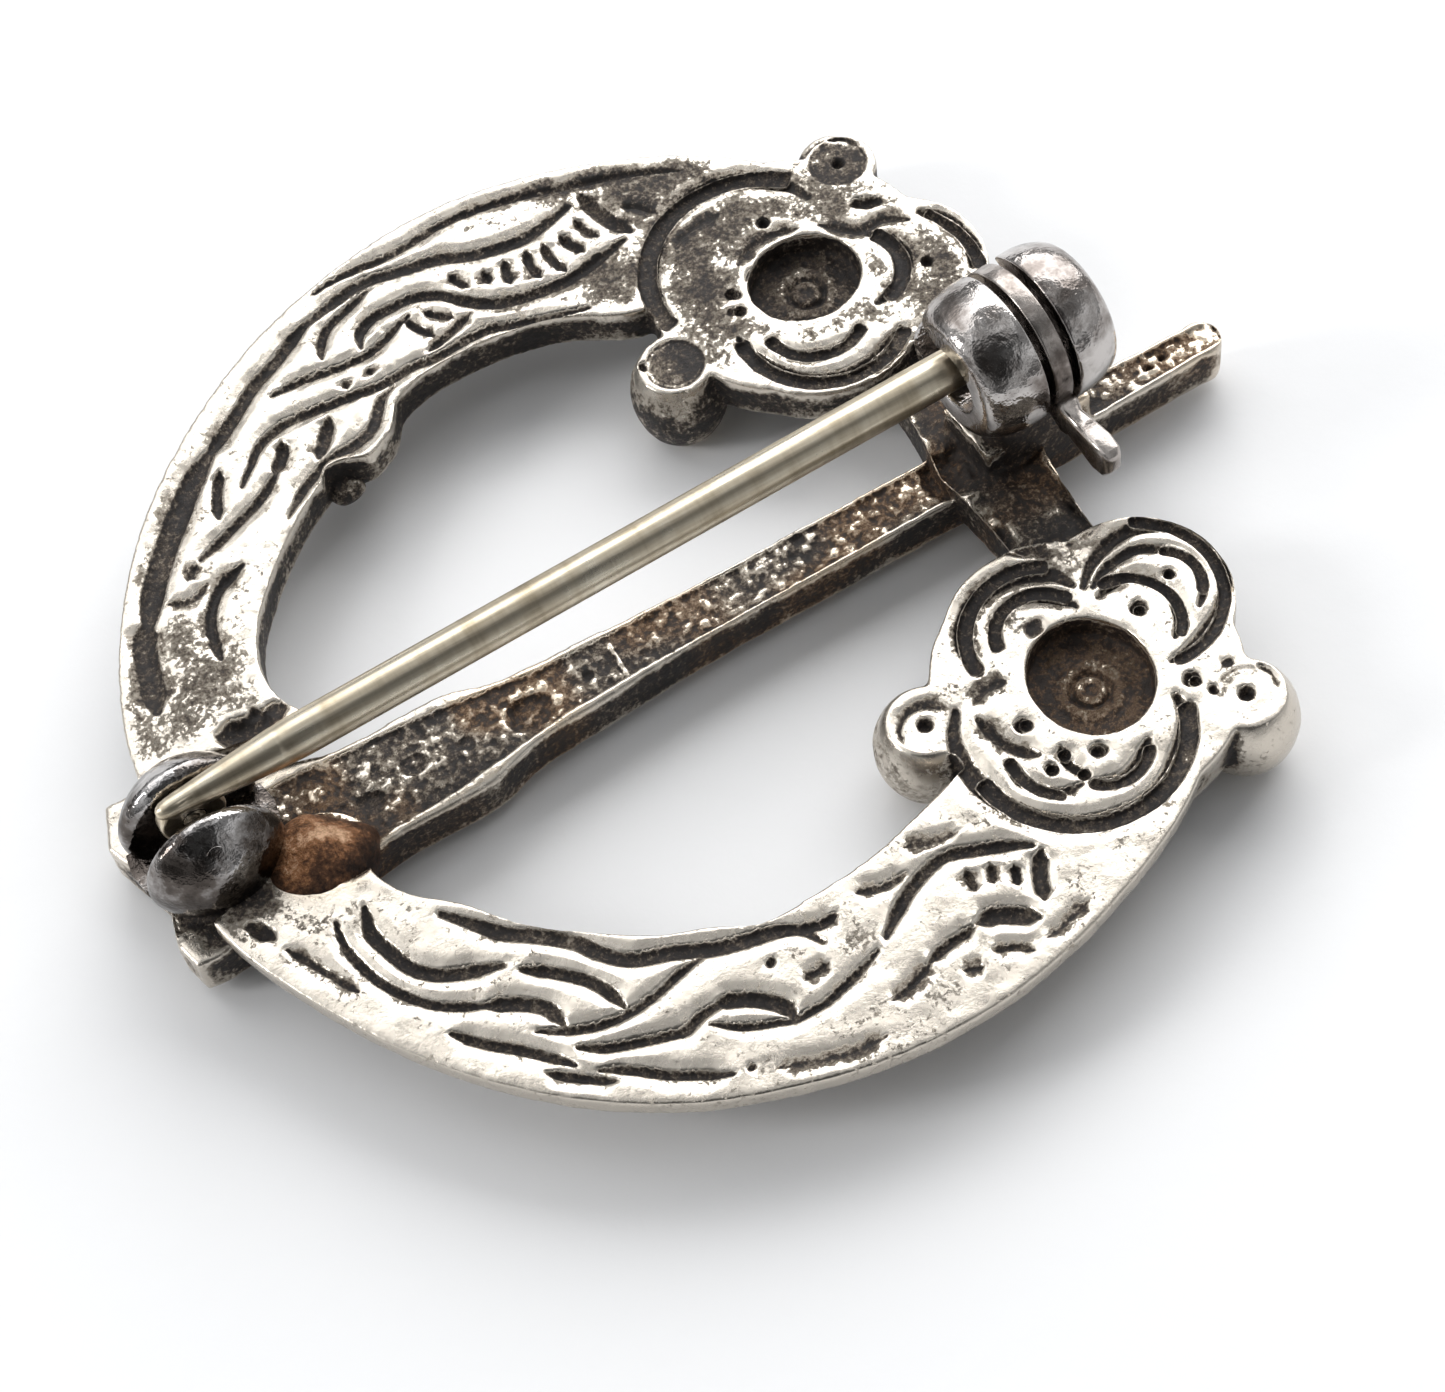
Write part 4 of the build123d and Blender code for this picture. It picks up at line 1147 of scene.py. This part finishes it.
bm = bmesh.new()
bmesh.ops.create_icosphere(bm, subdivisions=5, radius=1.0)
for vert in bm.verts:
    pinch = 1 - 0.55 * max(vert.co.x, 0.0) ** 2
    vert.co = vert.co * SOLDER_HALF * Vector((1, pinch, pinch))
bmesh.ops.rotate(bm, cent=(0, 0, 0), matrix=Matrix.Rotation(SOLDER_TURN, 3, "Z"), verts=bm.verts)
bmesh.ops.translate(bm, vec=SOLDER_MIDDLE, verts=bm.verts)
solder = object_in_mm("solder_lump", bm)
co = coordinates(solder.data)
co += normals(solder.data) * (0.08 * lumps(co, 1.1, 31) + 0.03 * lumps(co, 0.32, 32))[:, None]
put_back(solder.data, co)
finish_piece(solder, "body", ["brooch_body"], old_solder, sharp=60)

# %% [markdown]
# ## The catch
#
# The safety catch is a pair of round cheeks on a foot, with a slotted ring that turns between
# them. The cheeks are spun round the catch's own line, which is soldered on a little askew. The
# bore takes the pin's point, and the mouth is the way in for it. The foot was never polished, so it
# is a piece of its own in the casting's dark silver.

# %% Spin the cheeks and the hub
CHEEK_R, CHEEK_IN, NEAR_END, FAR_END = 2.62, 0.6, 2.7, 2.45
BORE_R, HUB_R, MOUTH_W = 1.15, 1.6, 1.7


def cheek(inner, outer, radius=CHEEK_R, face=1.8, lip=0.45, soft=0.09):
    """Closed profile of one cheek: bore, flat inner face, rim, long round shoulder and outer face."""
    shoulder = outer - inner - lip
    profile = [(inner, BORE_R), (inner, (BORE_R + radius) / 2)]
    profile += arc((inner + soft, radius - soft), soft, 180, 90, 4)
    profile += [(inner + lip * 0.6, radius)]
    for t in np.linspace(0, 1, 15):
        along = inner + lip + shoulder * float(sin(t * pi / 2)) ** 1.15
        out = face + (radius - face) * float(cos(t * pi / 2)) ** 0.85
        profile.append((along, out))
    profile += arc((outer - 0.16, BORE_R + 0.16), 0.16, 0, -90, 5)
    return profile


housing = object_in_mm("catch_housing", spun(cheek(CHEEK_IN, NEAR_END), catch, -catch_dir, UP))
far_cheek = object_in_mm("far_cheek", spun(cheek(CHEEK_IN, FAR_END), catch, catch_dir, UP))
hub_end = CHEEK_IN + 0.1
hub_line = [(-hub_end, BORE_R), (-hub_end, HUB_R), (hub_end, HUB_R), (hub_end, BORE_R)]
hub = object_in_mm("hub", spun(hub_line, catch, catch_dir, UP))
cut(housing, far_cheek, "UNION")
cut(housing, hub, "UNION")
print("the catch's housing has", len(housing.data.vertices), "vertices")


# %% Cut the mouth
def on_catch(bm):
    """Brings a shape from the catch's own frame, X along its line, into place."""
    bmesh.ops.rotate(bm, cent=(0, 0, 0), matrix=Matrix.Rotation(catch_turn, 3, "Z"), verts=bm.verts)
    bmesh.ops.translate(bm, vec=catch, verts=bm.verts)
    return bm


def mouth(half, degrees):
    """A cutter from the catch's line outwards, turned about the line from arm A's side."""
    bm = block((-half, 0.0, -MOUTH_W / 2), (half, 4.0, MOUTH_W / 2))
    bmesh.ops.rotate(bm, cent=(0, 0, 0), matrix=Matrix.Rotation(radians(degrees), 3, "X"), verts=bm.verts)
    return on_catch(bm)


cut(housing, object_in_mm("mouth", mouth(3.2, 20)))
finish_piece(housing, "body", ["brooch_body"], bright_silver, sharp=40)

# %% The foot, with a way for the rotor
FOOT_BACK, FOOT_FRONT, FOOT_HALF_W, FOOT_LOW = 2.15, 1.95, 1.3, 1.6
ROTOR_WAY_R = 2.87


def upright(bm):
    """The edges that stand up."""
    return [e for e in bm.edges if abs(e.verts[0].co.z - e.verts[1].co.z) > 1]


foot_top = catch.z - 1.45
low_corner = (catch.x - FOOT_BACK, catch.y - FOOT_HALF_W, FOOT_LOW)
bm = block(low_corner, (catch.x + FOOT_FRONT, catch.y + FOOT_HALF_W, foot_top))
bmesh.ops.bevel(bm, geom=upright(bm), offset=0.55, segments=5, profile=0.5, affect="EDGES", material=-1)
bmesh.ops.subdivide_edges(bm, edges=upright(bm), cuts=12)
for vert in bm.verts:
    flare = 1 + 0.10 * ((foot_top - vert.co.z) / 3.8) ** 3
    vert.co.x = catch.x + (vert.co.x - catch.x) * (0.86 * flare)
    vert.co.y = catch.y + (vert.co.y - catch.y) * flare
bmesh.ops.rotate(bm, cent=catch, matrix=Matrix.Rotation(catch_turn, 3, "Z"), verts=bm.verts)
foot = object_in_mm("catch_foot", bm)
way_line = [(-CHEEK_IN, 0.0), (-CHEEK_IN, ROTOR_WAY_R), (CHEEK_IN, ROTOR_WAY_R), (CHEEK_IN, 0.0)]
cut(foot, object_in_mm("rotor_way", spun(way_line, catch, catch_dir, UP)))
write_tarnish_and_shade(foot.data, 0.84, 0.2)
finish_piece(foot, "body", ["brooch_body"], worn_silver, sharp=40)

# %% [markdown]
# ## The rotor and its lever
#
# The rotor is the slotted ring that closes the catch. Its lever stands out on arm B's side: a flat
# tab that leaves the ring with a small fold, and ends in a rounded paddle.

# %% Rotor ring with its slot
ROTOR_R, ROTOR_W, ROTOR_IN = 2.57, 0.68, 1.65


def rounded_ring(half, inner, outer, soft, count):
    """Closed profile of a flat ring whose outer edges are rounded."""
    left = arc((soft - half, outer - soft), soft, 180, 90, count)
    right = arc((half - soft, outer - soft), soft, 90, 0, count)
    return [(-half, inner)] + left + right + [(half, inner)]


ring_line = rounded_ring(ROTOR_W / 2, ROTOR_IN, ROTOR_R, 0.08, 4)
rotor = object_in_mm("catch_rotor_ring", spun(ring_line, catch, catch_dir, UP))
cut(rotor, object_in_mm("rotor_mouth", mouth(1, 235)))
print("the rotor's ring has", len(rotor.data.vertices), "vertices")

# %% The lever, joined to the ring
LEVER = [
    # out from the axis, height of the tab's middle, half height, half thickness
    (1.85, -1.12, 0.46, 0.30),
    (2.45, -1.10, 0.58, 0.36),
    (2.75, -1.18, 0.66, 0.38),
    (3.05, -1.26, 0.54, 0.31),
    (3.70, -1.25, 0.60, 0.34),
    (4.45, -1.25, 0.69, 0.38),
    (4.95, -1.25, 0.60, 0.36),
    (5.18, -1.25, 0.32, 0.24),
]
LEVER_IN, LEVER_OUT = LEVER[0][0], LEVER[-1][0]

bm = block((-1, -LEVER_OUT, -1), (1, -LEVER_IN, 1))
for out, *_ in LEVER[1:-1]:
    geometry = bm.verts[:] + bm.edges[:] + bm.faces[:]
    bmesh.ops.bisect_plane(bm, geom=geometry, plane_co=(0, -out, 0), plane_no=(0, 1, 0))
outs, heights, talls, thicks = zip(*LEVER)
for vert in bm.verts:
    height, tall, thick = (float(np.interp(-vert.co.y, outs, column)) for column in (heights, talls, thicks))
    vert.co.x *= thick
    vert.co.z = height + vert.co.z * tall
bmesh.ops.recalc_face_normals(bm, faces=bm.faces)
long_edges = [e for e in bm.edges if abs(e.verts[0].co.y - e.verts[1].co.y) > 1e-4 or e.verts[0].co.y < -5.1]
bmesh.ops.bevel(bm, geom=long_edges, offset=0.16, segments=4, profile=0.5, affect="EDGES", material=-1)
cut(rotor, object_in_mm("lever", on_catch(bm)), "UNION")
finish_piece(rotor, "rotor", ["catch_rotor"], rotor_silver, sharp=40)

# %% [markdown]
# ## The pin
#
# The pin is a straight wire with a long point. Towards the hinge it narrows, and a filed mark runs
# round it. It is spun round its own line, and its knuckle, a flat disc with the rivet's hole, is
# joined on.

# %% Spin the pin
PIN_LENGTH, TAPER, TIP = 33.0, 5.7, 0.13
ROOT = [(-1.0, 0.0), (-0.98, 0.12), (-0.90, 0.22), (-0.75, 0.30), (-0.5, 0.35), (0.0, 0.39)]
MARK = [(3.30, 0.665), (3.38, 0.655), (3.46, 0.67), (3.9, 0.695)]
END = [(PIN_LENGTH - 0.09, 0.12), (PIN_LENGTH - 0.03, 0.07), (PIN_LENGTH, 0.0)]

straight = PIN_LENGTH - TAPER
bend_r = (TAPER**2 + (PIN_R - TIP) ** 2) / (2 * (PIN_R - TIP))
widening = [(0.4 * i, 0.39 + 0.275 * (i / 8) ** 0.9) for i in range(1, 9)]
plain = [(4.4 + (straight - 4.4) * i / 20, PIN_R) for i in range(21)]
point = []
for x in np.linspace(0, TAPER, 18)[1:-1]:
    point.append((straight + float(x), PIN_R - bend_r + float(np.sqrt(bend_r**2 - x**2))))
profile = ROOT + widening + MARK + plain + point + END
pin = object_in_mm("pin_wire_stem", spun(profile, pin_start, pin_dir, slot_up, 64))
print("the wire has", len(profile), "rings")

# %% Join the knuckle on
KNUCKLE_HALF_W, KNUCKLE_IN, KNUCKLE_OUT = 0.30, 0.42, KNUCKLE_R - 0.35

knuckle_line = rounded_ring(KNUCKLE_HALF_W, KNUCKLE_IN, KNUCKLE_OUT, 0.14, 8)
knuckle = object_in_mm("knuckle", spun(knuckle_line, rivet, rivet_dir, slot_up, 72))
cut(pin, knuckle, "UNION")
finish_piece(pin, "pin", ["pin_stem"], pin_wire, sharp=40)

# %% [markdown]
# ## Table, light and camera
#
# The brooch lies on white card under soft room light. A large soft light stands behind it and
# above, so the flat back mirrors it towards the camera and the grooves stay dark. The room has soft
# patches and one dark side, which the polished fittings mirror. The camera's place was worked out
# from the outlines in the photograph.

# %% Floor
bm = bmesh.new()
bmesh.ops.create_grid(bm, x_segments=1, y_segments=1, size=2.0)
floor_mesh = bpy.data.meshes.new("floor")
bm.to_mesh(floor_mesh)
bm.free()
floor = bpy.data.objects.new("floor", floor_mesh)
bpy.context.scene.collection.objects.link(floor)
card, tree, shader = new_material("white_card")
shader.inputs["Base Color"].default_value = (0.86, 0.86, 0.865, 1)
shader.inputs["Roughness"].default_value = 0.55
bump(tree, shader, noise(tree, 900, 5, 0.6), 0.00006, 0.25)
floor_mesh.materials.append(card)
print("floor with", len(floor_mesh.vertices), "corners")


# %% Lights
def soft_light(name, place, size, power, colour=(1, 1, 1)):
    """A rectangular soft light that looks at the brooch."""
    data = bpy.data.lights.new(name, "AREA")
    data.shape = "RECTANGLE"
    data.size, data.size_y = size
    data.energy = power
    data.color = colour
    light = bpy.data.objects.new(name, data)
    light.location = place
    light.rotation_mode = "QUATERNION"
    light.rotation_quaternion = Vector(place).to_track_quat("Z", "Y")
    bpy.context.scene.collection.objects.link(light)
    return light


soft_light("window", (0.345, 0.342, 0.35), (0.66, 0.54), 3.7)
soft_light("ceiling", (-0.14, 0.44, 0.54), (0.50, 0.40), 0.90)
soft_light("left_light", (-0.42, 0.12, 0.24), (0.10, 0.20), 0.8)
print("lights:", [light.name for light in bpy.data.lights])

# %% The room
world = bpy.data.worlds.new("room")
world.use_nodes = True
tree = world.node_tree
direction = tree.nodes.new("ShaderNodeTexCoord")
patches = tree.nodes.new("ShaderNodeTexNoise")
patches.inputs["Scale"].default_value = 1.9
patches.inputs["Detail"].default_value = 1.0
tree.links.new(direction.outputs["Generated"], patches.inputs["Vector"])
height = tree.nodes.new("ShaderNodeSeparateXYZ")
tree.links.new(direction.outputs["Generated"], height.inputs["Vector"])
walls = spread(tree, height.outputs["Z"], 0.0, 0.9, 0.30, 0.86)
room = maths(tree, "MULTIPLY", walls, spread(tree, patches.outputs["Fac"], 0.40, 0.60, 0.40, 1.45))
dark_side = tree.nodes.new("ShaderNodeVectorMath")
dark_side.operation = "DOT_PRODUCT"
dark_side.inputs[1].default_value = (-0.20, -0.62, 0.76)
tree.links.new(direction.outputs["Generated"], dark_side.inputs[0])
room = maths(tree, "MULTIPLY", room, spread(tree, dark_side.outputs["Value"], 0.74, 0.92, 1.0, 0.10))
tree.links.new(room, tree.nodes["Background"].inputs["Strength"])
tree.nodes["Background"].inputs["Color"].default_value = (0.96, 0.98, 1.0, 1)
bpy.context.scene.world = world
print("world:", world.name)

# %% Camera
FOCAL_PX, IMAGE_W, SENSOR_W = 3300, 1445, 36
RIGHT = Vector((0.8726, -0.4788, -0.0964))
ABOVE = Vector((0.4560, 0.7280, 0.5121))
AHEAD = Vector((0.1750, 0.4908, -0.8535))
CAMERA_MM = Vector((-19.28, -55.73, 92.39))

camera_data = bpy.data.cameras.new("camera")
camera_data.sensor_fit = "HORIZONTAL"
camera_data.sensor_width = SENSOR_W
camera_data.lens = SENSOR_W * FOCAL_PX / IMAGE_W
camera_data.clip_start, camera_data.clip_end = 0.005, 20
camera = bpy.data.objects.new("camera", camera_data)
camera.rotation_mode = "QUATERNION"
camera.rotation_quaternion = Matrix((RIGHT, ABOVE, -AHEAD)).transposed().to_quaternion()
camera.location = CAMERA_MM * MM
bpy.context.scene.collection.objects.link(camera)
bpy.context.scene.camera = camera
bpy.context.scene.view_settings.view_transform = "Standard"
print("focal length", round(camera_data.lens, 1), "mm")
